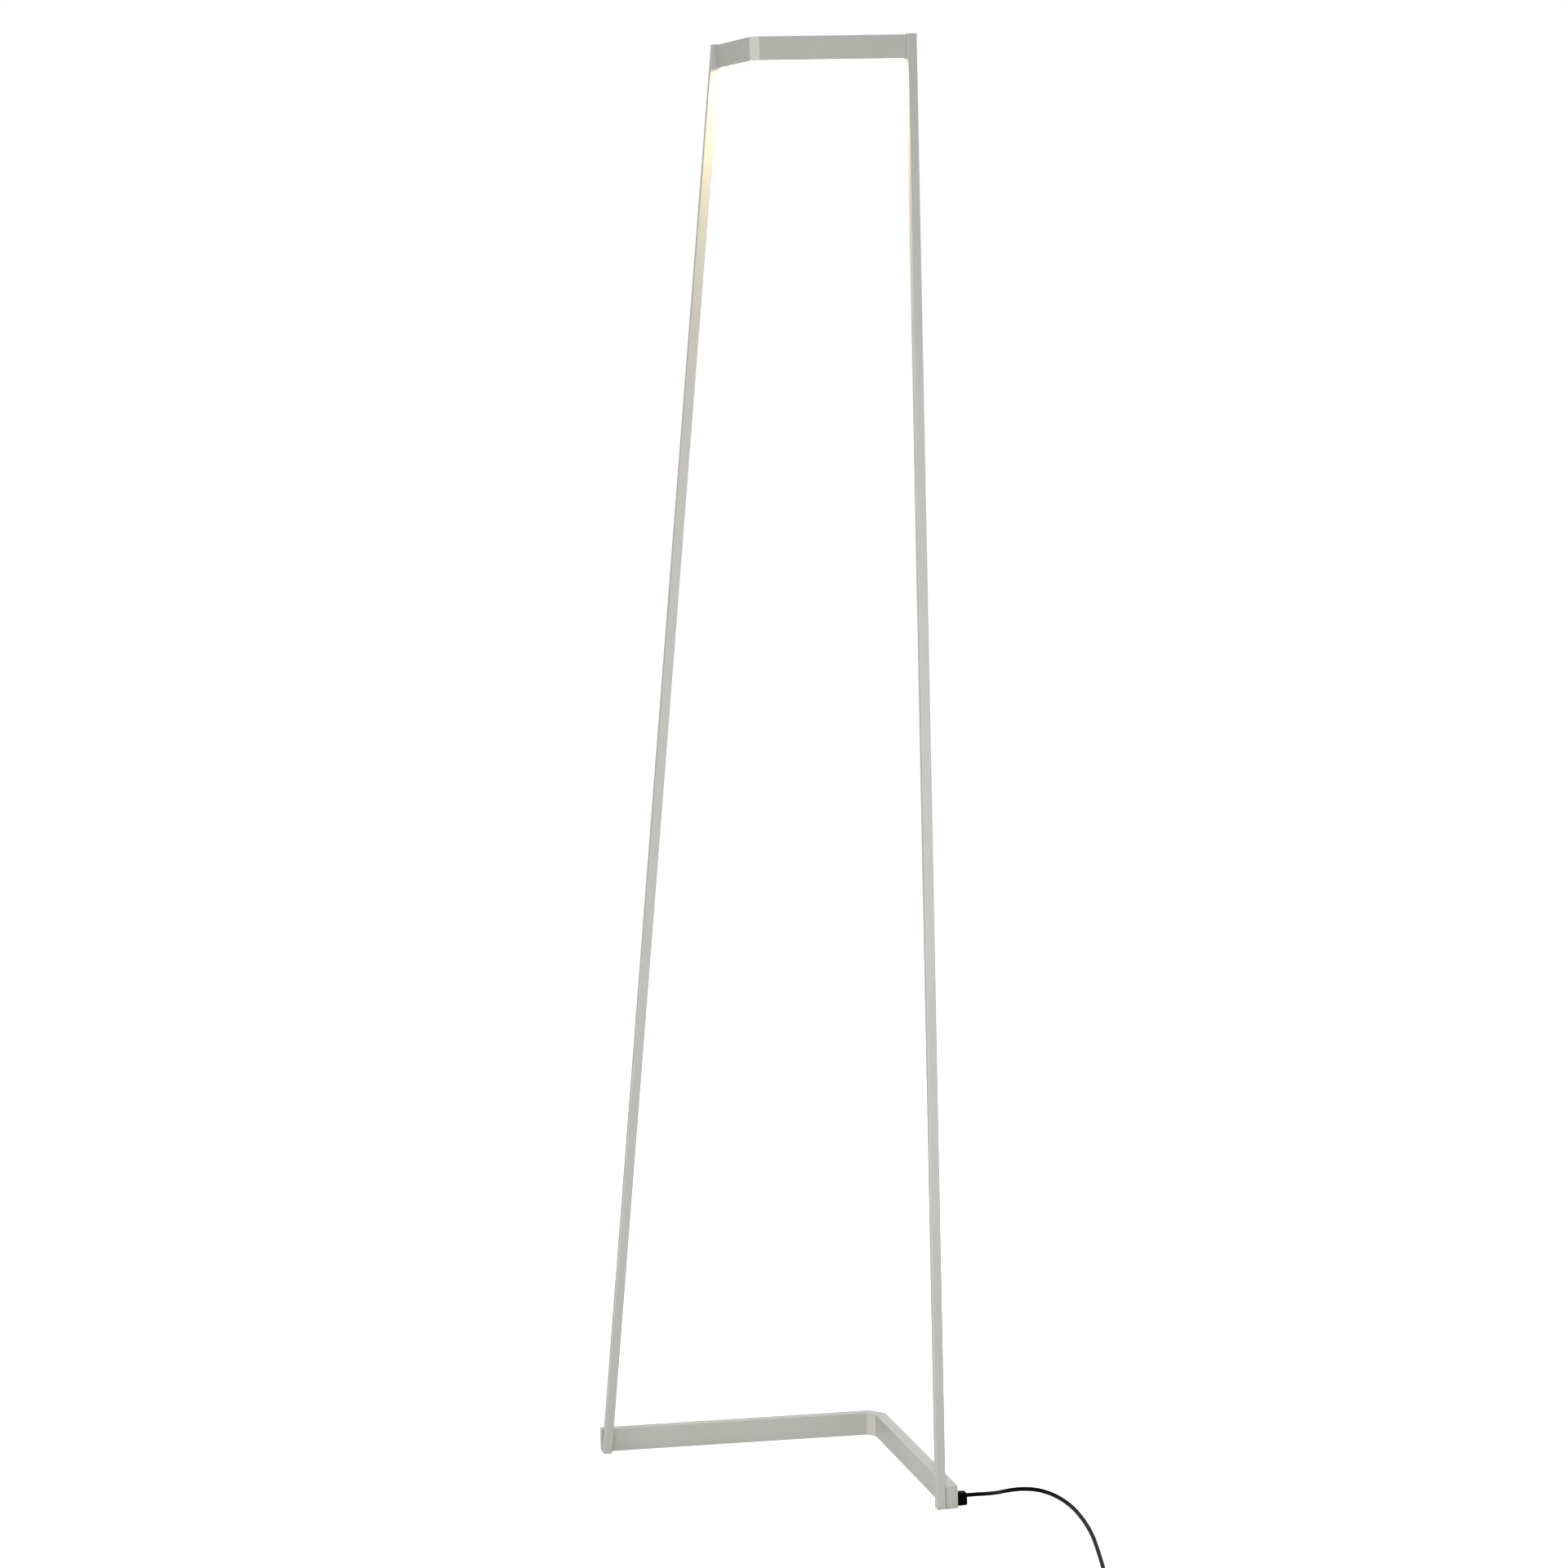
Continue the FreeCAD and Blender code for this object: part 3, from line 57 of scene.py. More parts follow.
def addObject(name, data):
    thing = bpy.data.objects.new(name, data)
    bpy.context.scene.collection.objects.link(thing)
    return thing


# camera at the photograph's place, with its angles in degrees

cameraView = {
    "place": (3.1567, -4.74094, 1.6073),
    "yaw": -33.986,
    "pitch": -6.871,
    "roll": -1.250,
    "lens": 98.86,
    "sensor": 36,
    "farthest": 60,
}


def makeCamera(view):
    yaw, pitch, roll = (math.radians(view[key]) for key in ("yaw", "pitch", "roll"))
    ahead = Vector((math.sin(yaw) * math.cos(pitch), math.cos(yaw) * math.cos(pitch),
                    math.sin(pitch)))
    level = Vector((math.cos(yaw), -math.sin(yaw), 0))
    above = level.cross(ahead)
    right = level * math.cos(roll) + above * math.sin(roll)
    up = above * math.cos(roll) - level * math.sin(roll)
    data = bpy.data.cameras.new("camera")
    data.lens = view["lens"]
    data.sensor_width = view["sensor"]
    data.clip_end = view["farthest"]
    camera = addObject("camera", data)
    turn = Matrix((right, up, -ahead)).transposed().to_4x4()
    camera.matrix_world = Matrix.Translation(Vector(view["place"])) @ turn
    bpy.context.scene.camera = camera


makeCamera(cameraView)
print("camera made")


# the middle of the switch, the way that the cord leads on from it in degrees,
# and the coil and the plug's face as (along, across) that way

farEnd = {
    "switchPlace": (0.52804, -0.37694),
    "turn": 209.84,
    "coilPlace": (0.1364, 0.008),
    "plugFace": (0.25102, -0.0115),
    "plugLevel": 0.00685,
}


def layPoint(along, across, z):
    turn = math.radians(farEnd["turn"])
    x = farEnd["switchPlace"][0] + along * math.cos(turn) - across * math.sin(turn)
    y = farEnd["switchPlace"][1] + along * math.sin(turn) + across * math.cos(turn)
    return (x, y, z)


# the mains cord: grip to switch, then switch to plug with the put-away coil on the way

cordRun = {
    "diameter": 0.0054,
    "length": 0.60,
    "exit": (0.28873, -0.09888, 0.0132),
    "points": [
        (0.28873, -0.09888, 0.0132), (0.29793, -0.089, 0.0132), (0.304, -0.06985, 0.0099),
        (0.3055, -0.04865, 0.0062), (0.307, -0.02865, 0.0039), (0.3132, -0.01235, 0.00285),
        (0.326, -0.00275, 0.0028), (0.344, -0.00085, 0.0028), (0.374, -0.01265, 0.0028),
        (0.413, -0.04165, 0.0028), (0.455, -0.08465, 0.0028), (0.501, -0.13965, 0.0028),
        (0.548, -0.20565, 0.0028), (0.584, -0.25765, 0.0028), (0.60647, -0.2916, 0.0028),
        (0.60868, -0.31454, 0.00295), (0.59817, -0.3344, 0.0043), (0.58268, -0.34559, 0.0065),
        (0.56534, -0.35554, 0.0065),
    ],
}

cordLead = {
    "diameter": 0.0054,
    "length": 1.36,
    "exit": (0.49074, -0.39834, 0.0065),
    "before": [
        (0.49074, -0.39834, 0.0065), (0.47946, -0.40481, 0.0065), (0.46483, -0.40744, 0.0059),
        (0.44945, -0.40474, 0.005), (0.43474, -0.40222, 0.0043), (0.42125, -0.40281, 0.0039),
        (0.40951, -0.40747, 0.00385), (0.39824, -0.41394, 0.00385),
    ],
    "after": [
        (0.38887, -0.41932, 0.00985), (0.37915, -0.42489, 0.00985), (0.37024, -0.43346, 0.0091),
        (0.36306, -0.44507, 0.0081), (0.35639, -0.45755, 0.0072), (0.34754, -0.46724, 0.00685),
        (0.33669, -0.47346, 0.00685),
    ],
    "coilOuter": 0.0405,
    "coilStep": 0.006,
    "coilLevel": 0.00385,
    "climbTurns": 0.5,
    "turnsPerLayer": 3,
    "pointsPerTurn": 16,
}

cordSteps = {"along": 6, "round": 5}


# inwards on the lower layer, up to the next, and outwards again
def coilPoints(lead):
    layer = lead["turnsPerLayer"]
    steps = lead["pointsPerTurn"]
    ease = 1 / math.cos(math.pi / steps) ** 2  # the spline runs inside its points by this share
    points = []
    for i in range(1, 2 * layer * steps):
        turns = i / steps
        inward = min(turns, 2 * layer - turns)
        radius = (lead["coilOuter"] - lead["coilStep"] * inward) * ease
        climb = min(max((turns - layer) / lead["climbTurns"] + 0.5, 0), 1)
        angle = 2 * math.pi * turns - math.pi / 2
        along = farEnd["coilPlace"][0] + radius * math.cos(angle)
        across = farEnd["coilPlace"][1] + radius * math.sin(angle)
        points.append(layPoint(along, across, lead["coilLevel"] + lead["coilStep"] * climb))
    return points


def cordCurve(name, points, diameter):
    data = bpy.data.curves.new(name, "CURVE")
    data.dimensions = "3D"
    spline = data.splines.new("NURBS")
    spline.points.add(len(points) - 1)
    for control, place in zip(spline.points, points):
        control.co = (*place, 1)
        control.radius = diameter / 2  # a curve's box reaches this far past its points
    spline.order_u = 3
    spline.use_endpoint_u = True
    data.resolution_u = cordSteps["along"]
    data.bevel_depth = 1  # times the points' radius
    data.bevel_resolution = cordSteps["round"]
    data.use_fill_caps = True
    piece = addObject(name, data)
    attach(piece, "lamp")
    return piece


# a piece's line as its spline gives it
def lineOf(curvePiece):
    data = curvePiece.data.copy()
    data.bevel_depth = 0
    probe = bpy.data.objects.new("probe", data)
    mesh = bpy.data.meshes.new_from_object(probe)
    line = [v.co.copy() for v in mesh.vertices]
    bpy.data.objects.remove(probe)
    bpy.data.meshes.remove(mesh)
    bpy.data.curves.remove(data)
    return line


runPiece = cordCurve("mainsCordRun", cordRun["points"], cordRun["diameter"])
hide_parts("cord_run")
leadPoints = cordLead["before"] + coilPoints(cordLead) + cordLead["after"]
leadPiece = cordCurve("mainsCordLead", leadPoints, cordLead["diameter"])
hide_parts("cord_link", "cord_coil", "cord_tail")
runLine = lineOf(runPiece)
leadLine = lineOf(leadPiece)
print("cords laid")


# meshes made of rings: each piece's material is added once all materials are made

ownPieces = []


def ownPiece(name, points, faces, slotName, smoothUnder=35):
    mesh = bpy.data.meshes.new(name)
    mesh.from_pydata(points, [], faces)
    mesh.shade_smooth()
    mesh.set_sharp_from_angle(angle=math.radians(smoothUnder))
    piece = addObject(name, mesh)
    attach(piece, "lamp")
    ownPieces.append((piece, slotName))
    return piece


def placeOn(line, distance):
    for a, b in zip(line, line[1:]):
        span = (b - a).length
        if distance <= span:
            return a.lerp(b, distance / span), (b - a).normalized()
        distance -= span
    return line[-1].copy(), (line[-1] - line[-2]).normalized()


# rings round a line, one for each (distance, radius)
def ringsOn(line, profile, count):
    vertical = Vector((0, 0, 1))
    steep = 0.9
    rings = []
    for distance, radius in profile:
        place, ahead = placeOn(line, distance)
        side = ahead.orthogonal() if abs(ahead.z) > steep else ahead.cross(vertical)
        side.normalize()
        up = ahead.cross(side)
        turns = [2 * math.pi * i / count for i in range(count)]
        rings.append([place + (side * math.cos(t) + up * math.sin(t)) * radius for t in turns])
    return rings


# faces point outwards where the rings turn anticlockwise, seen from the line's far end
def skinOver(rings, closed=False):
    size = len(rings[0])
    points = [tuple(place) for ring in rings for place in ring]
    faces = []
    for i in range(len(rings) if closed else len(rings) - 1):
        a = i * size
        b = (i + 1) % len(rings) * size
        for j in range(size):
            k = (j + 1) % size
            faces.append((a + j, a + k, b + k, b + j))
    if not closed:
        faces.append(tuple(reversed(range(size))))
        faces.append(tuple(range(len(points) - size, len(points))))
    return points, faces


def together(parts):
    points = []
    faces = []
    for morePoints, moreFaces in parts:
        shift = len(points)
        points += morePoints
        faces += [tuple(i + shift for i in face) for face in moreFaces]
    return points, faces


# a straight rod with rounded ends, as (distance, radius) in shares of its radius
rodLook = {"end": [(0, 0.35), (0.18, 0.75), (0.6, 1)], "round": 14}


def rodParts(a, b, radius):
    line = [Vector(a), Vector(b)]
    length = (line[1] - line[0]).length
    end = [(distance * radius, share * radius) for distance, share in rodLook["end"]]
    profile = end + [(length - distance, thick) for distance, thick in reversed(end)]
    return skinOver(ringsOn(line, profile, rodLook["round"]))


# ribbed relief sleeves at both ends of the switch and on the plug's neck
# flange and tip are (distance, radius), a rib's shape is (share of its step, share of its depth)

reliefSleeve = {
    "flange": [(0, 0.0047), (0.0022, 0.0047), (0.0025, 0.0044), (0.0026, 0.0041)],
    "ribs": 6,
    "ribStep": 0.003,
    "ribDepth": 0.00045,
    "ribShape": [(0.25, 1), (0.4, 0), (0.85, 0.1), (1, 1)],
    "thick": 0.0043,
    "thin": 0.0033,
    "tip": [(0.0006, 0.00276), (0.0008, 0.0026)],
    "round": 28,
}


def sleeveProfile(look):
    profile = list(look["flange"])
    start = profile[-1][0]
    for i in range(look["ribs"]):
        radius = look["thick"] + (look["thin"] - look["thick"]) * i / (look["ribs"] - 1)
        base = start + i * look["ribStep"]
        profile += [(base + look["ribStep"] * share, radius - look["ribDepth"] * cut)
                    for share, cut in look["ribShape"]]
    end = profile[-1][0]
    return profile + [(end + distance, radius) for distance, radius in look["tip"]]


def makeSleeve(name, line, look=reliefSleeve):
    rings = ringsOn(line, sleeveProfile(look), look["round"])
    return ownPiece(name, *skinOver(rings), "switch_plastic")


sleeveIn = makeSleeve("switchSleeveIn", list(reversed(runLine)))
sleeveOut = makeSleeve("switchSleeveOut", leadLine)
plugSleeve = makeSleeve("plugSleeve", list(reversed(leadLine)))


# the strap round one side of the coil, its end laid over its start

tieStrap = {
    "inner": 0.0216,
    "outer": 0.04095,
    "low": 0.0004,
    "high": 0.0133,
    "bend": 0.0034,
    "bendSteps": 6,
    "wide": 0.008,
    "thick": 0.0008,
    "edge": 0.0002,
    "start": 0.031,
    "riseFrom": 0.0025,
    "riseTo": 0.0006,
    "lift": 0.00084,
    "overlap": 0.0085,
}


# the strap's path across the bundle of turns, as (from the coil's middle, level, outward, lift)
def strapPath(look):
    inner, outer, low, high = (look[key] for key in ("inner", "outer", "low", "high"))
    bend = look["bend"]
    steps = look["bendSteps"]
    corners = [(inner, high, 90), (inner, low, 180), (outer, low, 270), (outer, high, 0)]
    path = [(look["start"], high, 90, 0)]
    for r, z, first in corners:
        middleR = r + bend * (1 if r == inner else -1)
        middleZ = z + bend * (1 if z == low else -1)
        for i in range(steps + 1):
            angle = first + 90 / steps * i
            turn = math.radians(angle)
            path.append((middleR + bend * math.cos(turn), middleZ + bend * math.sin(turn),
                         angle, 0))
    path.append((look["start"] + look["riseFrom"], high, 90, 0))
    for shift in (look["riseTo"], -look["overlap"] / 2, -look["overlap"]):
        path.append((look["start"] + shift, high, 90, look["lift"]))
    return path


def makeTie(look):
    wide = look["wide"] / 2
    thick = look["thick"] / 2
    edge = look["edge"]
    section = [
        (-wide, -thick + edge), (-wide + edge, -thick),
        (wide - edge, -thick), (wide, -thick + edge),
        (wide, thick - edge), (wide - edge, thick),
        (-wide + edge, thick), (-wide, thick - edge),
    ]
    along, across = farEnd["coilPlace"]
    rings = []
    for r, z, angle, lift in strapPath(look):
        turn = math.radians(angle)
        rings.append([layPoint(along + sideways, across + r + (out + lift) * math.cos(turn),
                               z + (out + lift) * math.sin(turn)) for sideways, out in section])
    return ownPiece("coilStrap", *skinOver(rings), "tie_plastic")


strap = makeTie(tieStrap)
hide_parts("coil_tie")


# the ring round the switch's button, as (height, radius)

buttonRing = {
    "level": 0.018,
    "profile": [(0, 0.0062), (0, 0.0078), (0.0004, 0.0077), (0.0007, 0.0073), (0.0007, 0.0067),
                (0.0005, 0.0063)],
    "round": 48,
}


def makeRing(look):
    foot = Vector((*farEnd["switchPlace"], look["level"]))
    rings = ringsOn([foot, foot + Vector((0, 0, 1))], look["profile"], look["round"])
    return ownPiece("buttonRing", *skinOver(rings, closed=True), "switch_plastic")


ring = makeRing(buttonRing)


# grip ribs on both long sides of the switch

switchRibs = {
    "radius": 0.0007,
    "places": (0.019, 0.0215, 0.024, 0.0265, 0.029, 0.0315),
    "side": 0.0139,
    "low": 0.003,
    "high": 0.0148,
}


def makeSwitchRibs(look):
    parts = []
    for side in (-1, 1):
        for end in (-1, 1):
            for place in look["places"]:
                a = layPoint(place * end, look["side"] * side, look["low"])
                b = layPoint(place * end, look["side"] * side, look["high"])
                parts.append(rodParts(a, b, look["radius"]))
    return ownPiece("switchRibs", *together(parts), "switch_plastic")


ribs = makeSwitchRibs(switchRibs)


# grip ridges across the plug, placed from its neck

plugRidges = {
    "plugLength": 0.037,
    "places": (0.019, 0.0215, 0.024, 0.0265),
    "radius": 0.0007,
    "reach": 0.0125,
    "level": 0.0136,
}


def makePlugRidges(look):
    face, middle = farEnd["plugFace"]
    neck = face - look["plugLength"]
    parts = []
    for place in look["places"]:
        a = layPoint(neck + place, middle - look["reach"], look["level"])
        b = layPoint(neck + place, middle + look["reach"], look["level"])
        parts.append(rodParts(a, b, look["radius"]))
    return ownPiece("plugRidges", *together(parts), "switch_plastic")


ridges = makePlugRidges(plugRidges)


# insulating sleeves on the plug's pins

pinSleeves = {
    "spacing": 0.0186,
    "length": 0.010,
    "radius": 0.00216,
    "edgeLength": 0.0002,
    "edgeDepth": 0.0001,
    "bore": 0.0015,
    "round": 28,
}


def makePinSleeves(look):
    face, middle = farEnd["plugFace"]
    length = look["length"]
    radius = look["radius"]
    profile = [(0, radius), (length - look["edgeLength"], radius),
               (length, radius - look["edgeDepth"]), (length, look["bore"])]
    parts = []
    for side in (-1, 1):
        across = middle + look["spacing"] / 2 * side
        a = Vector(layPoint(face, across, farEnd["plugLevel"]))
        b = Vector(layPoint(face + 2 * length, across, farEnd["plugLevel"]))
        parts.append(skinOver(ringsOn([a, b], profile, look["round"])))
    return ownPiece("pinSleeves", *together(parts), "switch_plastic")


pinCovers = makePinSleeves(pinSleeves)


# the spring under the button, coiled up the height of the part's own spring, which it replaces

pressSpring = {
    "radius": 0.0036,
    "wire": 0.0004,
    "turns": 5,
    "steps": 24,
    "round": 10,
    "travel": 0.0022,
}


def makeSpring(look):
    low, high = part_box("switch_spring")
    middle = (Vector(low) + Vector(high)) / 2
    count = look["turns"] * look["steps"]
    rise = high[2] - low[2] - 2 * look["wire"]
    line = []
    for i in range(count + 1):
        turn = 2 * math.pi * i / look["steps"]
        line.append(Vector((middle.x + look["radius"] * math.cos(turn),
                            middle.y + look["radius"] * math.sin(turn),
                            low[2] + look["wire"] + rise * i / count)))
    length = sum((b - a).length for a, b in zip(line, line[1:]))
    profile = [(length * i / count, look["wire"]) for i in range(count + 1)]
    rings = ringsOn(line, profile, look["round"])
    spring = ownPiece("pressSpring", *skinOver(rings), "steel")
    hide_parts("switch_spring")
    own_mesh(spring)
    return spring


spring = makeSpring(pressSpring)
print("trim of the switch, coil and plug made")


# shader maths: a socket that Python's operators work on

class Signal:
    def __init__(self, graph, socket):
        self.graph = graph
        self.socket = socket

    def isColour(self):
        return self.socket.type in ("RGBA", "VECTOR")

    def combine(self, operation, a, b):
        if any(isinstance(v, Signal) and v.isColour() for v in (a, b)):
            return self.graph.vector(operation, a, b)
        return self.graph.number(operation, a, b)

    def __add__(self, other):
        return self.combine("ADD", self, other)

    def __radd__(self, other):
        return self.combine("ADD", other, self)

    def __sub__(self, other):
        return self.combine("SUBTRACT", self, other)

    def __rsub__(self, other):
        return self.combine("SUBTRACT", other, self)

    def __mul__(self, other):
        return self.combine("MULTIPLY", self, other)

    def __rmul__(self, other):
        return self.combine("MULTIPLY", other, self)


class Graph:
    def __init__(self, holder):
        self.holder = holder
        self.holder.use_nodes = True
        self.tree = self.holder.node_tree
        self.tree.nodes.clear()

    def add(self, kind, settings=None, inputs=None, output=0):
        node = self.tree.nodes.new(kind)
        for key, value in (settings or {}).items():
            setattr(node, key, value)
        for key, value in (inputs or {}).items():
            self.feed(node.inputs[key], value)
        return Signal(self, node.outputs[output]) if node.outputs else None

    def feed(self, socket, value):
        if isinstance(value, Signal):
            self.tree.links.new(value.socket, socket)
        elif socket.type == "RGBA" and len(value) == 3:
            socket.default_value = (*value, 1)
        else:
            socket.default_value = value

    def number(self, operation, a, b):
        return self.add("ShaderNodeMath", {"operation": operation}, {0: a, 1: b})

    def vector(self, operation, a, b):
        values = [(v, v, v) if isinstance(v, (int, float)) else v for v in (a, b)]
        return self.add("ShaderNodeVectorMath", {"operation": operation}, dict(enumerate(values)))

    # sockets 6 and 7 are a Mix node's colours, and output 2 is their mix
    def mix(self, factor, a, b):
        return self.add("ShaderNodeMix", {"data_type": "RGBA"}, {0: factor, 6: a, 7: b}, output=2)

    # 1 for the rays that see the background: the camera's, and what metal and glass show
    def backdropRays(self):
        names = ("Is Camera Ray", "Is Glossy Ray", "Is Transmission Ray")
        camera, glossy, through = (self.add("ShaderNodeLightPath", output=name) for name in names)
        return self.number("MAXIMUM", self.number("MAXIMUM", camera, glossy), through)

    def noise(self, scale, detail=2, rough=0.5, stretch=None):
        place = self.add("ShaderNodeTexCoord", output="Object")
        if stretch:
            place = place * stretch
        return self.add("ShaderNodeTexNoise", None, {
            "Vector": place, "Scale": scale, "Detail": detail, "Roughness": rough,
        })

    # a noise keeps near its middle, so the usual range takes in most of it
    def spread(self, value, low=0.3, high=0.7, toLow=0, toHigh=1):
        return self.add("ShaderNodeMapRange", {"clamp": True}, {
            "Value": value, "From Min": low, "From Max": high, "To Min": toLow, "To Max": toHigh,
        })

    # a value that a noise moves up and down
    def around(self, middle, noise, reach):
        return middle + (noise - 0.5) * reach

    def bump(self, height, look):
        inputs = {
            "Height": height, "Strength": look["bumpStrength"], "Distance": look["bumpDepth"],
        }
        if "edge" in look:
            radius = {"Radius": look["edge"]}
            inputs["Normal"] = self.add("ShaderNodeBevel", {"samples": 4}, radius)
        return self.add("ShaderNodeBump", None, inputs)

    def surface(self, values):
        return self.add("ShaderNodeBsdfPrincipled", inputs=values)

    def finish(self, values):
        self.add("ShaderNodeOutputMaterial", inputs={0: self.surface(values)})
        return self.holder


# a colour as a screen gives it, in the linear values that shaders take
def fromScreen(r, g, b):
    def one(v):
        v = v / 255
        return v / 12.92 if v <= 0.04045 else ((v + 0.055) / 1.055) ** 2.4
    return (one(r), one(g), one(b))


def dim(colour, share):
    return tuple(min(v * share, 1) for v in colour)


# powder-coated steel of the two V's and the uprights

paintLook = {
    "colour": fromScreen(190, 190, 185),
    "shade": 0.94,
    "cloudScale": 9,
    "cloudShare": 0.6,
    "grainScale": 1400,
    "worn": fromScreen(199, 199, 194),
    "wornScale": 160,
    "wornFrom": 0.62,
    "wornTo": 0.8,
    "roughness": 0.42,
    "roughnessReach": 0.12,
    "gloss": 0.1,
    "bumpStrength": 0.25,
    "bumpDepth": 0.00012,
    "edge": 0.0007,
}


def makePaint(name, look):
    g = Graph(bpy.data.materials.new(name))
    cloud = g.spread(g.noise(look["cloudScale"], detail=3), low=0.35, high=0.65)
    grain = g.noise(look["grainScale"], rough=0.6)
    shade = cloud * look["cloudShare"] + g.spread(grain) * (1 - look["cloudShare"])
    colour = g.mix(shade, dim(look["colour"], look["shade"]), look["colour"])
    worn = g.noise(look["wornScale"], detail=4, rough=0.7)
    wornShare = g.spread(worn, low=look["wornFrom"], high=look["wornTo"])
    return g.finish({
        "Base Color": g.mix(wornShare, colour, look["worn"]),
        "Roughness": g.around(look["roughness"], grain, look["roughnessReach"]),
        "Specular IOR Level": look["gloss"],
        "Normal": g.bump(grain, look),
    })


# moulded plastic, rubber and solder mask: each material names what differs from this

plasticLook = {
    "roughness": 0.45,
    "roughnessReach": 0.15,
    "gloss": 0.5,
    "cloudScale": 30,
    "tint": 0.08,
    "grainScale": 900,
    "bumpStrength": 0.3,
    "bumpDepth": 0.0001,
    "edge": 0.0004,
}


def makePlastic(name, colour, **changes):
    look = {**plasticLook, **changes}
    g = Graph(bpy.data.materials.new(name))
    grain = g.noise(look["grainScale"], detail=3, rough=0.6)
    cloud = g.spread(g.noise(look["cloudScale"]))
    return g.finish({
        "Base Color": g.mix(cloud, dim(colour, 1 - look["tint"]), dim(colour, 1 + look["tint"])),
        "Roughness": g.around(look["roughness"], grain, look["roughnessReach"]),
        "Specular IOR Level": look["gloss"],
        "Normal": g.bump(grain, look),
    })


# plated, rolled and raw metal, streaked along one axis: again what differs is named

metalLook = {
    "roughness": 0.35,
    "roughnessReach": 0.2,
    "metallic": 1.0,
    "cloudScale": 60,
    "tint": 0.1,
    "streakScale": 500,
    "stretch": (1, 1, 12),
    "bumpStrength": 0.15,
    "bumpDepth": 0.00005,
    "edge": 0.0002,
}


def makeMetal(name, colour, **changes):
    look = {**metalLook, **changes}
    g = Graph(bpy.data.materials.new(name))
    streak = g.noise(look["streakScale"], detail=3, rough=0.6, stretch=look["stretch"])
    cloud = g.spread(g.noise(look["cloudScale"], detail=3))
    return g.finish({
        "Base Color": g.mix(cloud, dim(colour, 1 - look["tint"]), colour),
        "Roughness": g.around(look["roughness"], streak, look["roughnessReach"]),
        "Metallic": look["metallic"],
        "Normal": g.bump(streak, look),
    })


# the light: the opal strip, and the chips behind it

opalLook = {
    "base": fromScreen(250, 246, 236),
    "glow": fromScreen(255, 246, 226),
    "strength": 4.0,
    "roughness": 0.45,
}

chipLook = {
    "base": fromScreen(250, 220, 120),
    "glow": fromScreen(255, 226, 150),
    "strength": 2.0,
    "roughness": 0.3,
}

glowGrain = {
    "shade": 0.97,
    "cloudScale": 120,
    "roughnessReach": 0.1,
    "grainScale": 1500,
    "bumpStrength": 0.1,
    "bumpDepth": 0.00005,
}


def makeGlow(name, look):
    g = Graph(bpy.data.materials.new(name))
    cloud = g.noise(glowGrain["cloudScale"])
    dimmed = dim(look["glow"], glowGrain["shade"])
    return g.finish({
        "Base Color": look["base"],
        "Roughness": g.around(look["roughness"], cloud, glowGrain["roughnessReach"]),
        "Emission Color": g.mix(g.spread(cloud), dimmed, look["glow"]),
        "Emission Strength": look["strength"],
        "Normal": g.bump(g.noise(glowGrain["grainScale"]), glowGrain),
    })


# the cord's smooth black sleeve, scuffed in places

black = fromScreen(4, 4, 4)

cordLook = {
    "colour": black,
    "scuffed": fromScreen(20, 20, 20),
    "scuffShare": 0.3,
    "scuffScale": 90,
    "scuffFrom": 0.55,
    "scuffTo": 0.8,
    "roughness": 0.46,
    "scuffRoughness": 0.15,
    "gloss": 0.03,
    "grainScale": 2200,
    "bumpStrength": 0.2,
    "bumpDepth": 0.00006,
}


def makeCord(name, look):
    g = Graph(bpy.data.materials.new(name))
    grain = g.noise(look["grainScale"], rough=0.6)
    marks = g.noise(look["scuffScale"], detail=4, rough=0.7)
    scuff = g.spread(marks, low=look["scuffFrom"], high=look["scuffTo"])
    return g.finish({
        "Base Color": g.mix(scuff * look["scuffShare"], look["colour"], look["scuffed"]),
        "Roughness": look["roughness"] + scuff * look["scuffRoughness"],
        "Specular IOR Level": look["gloss"],
        "Normal": g.bump(grain, look),
    })


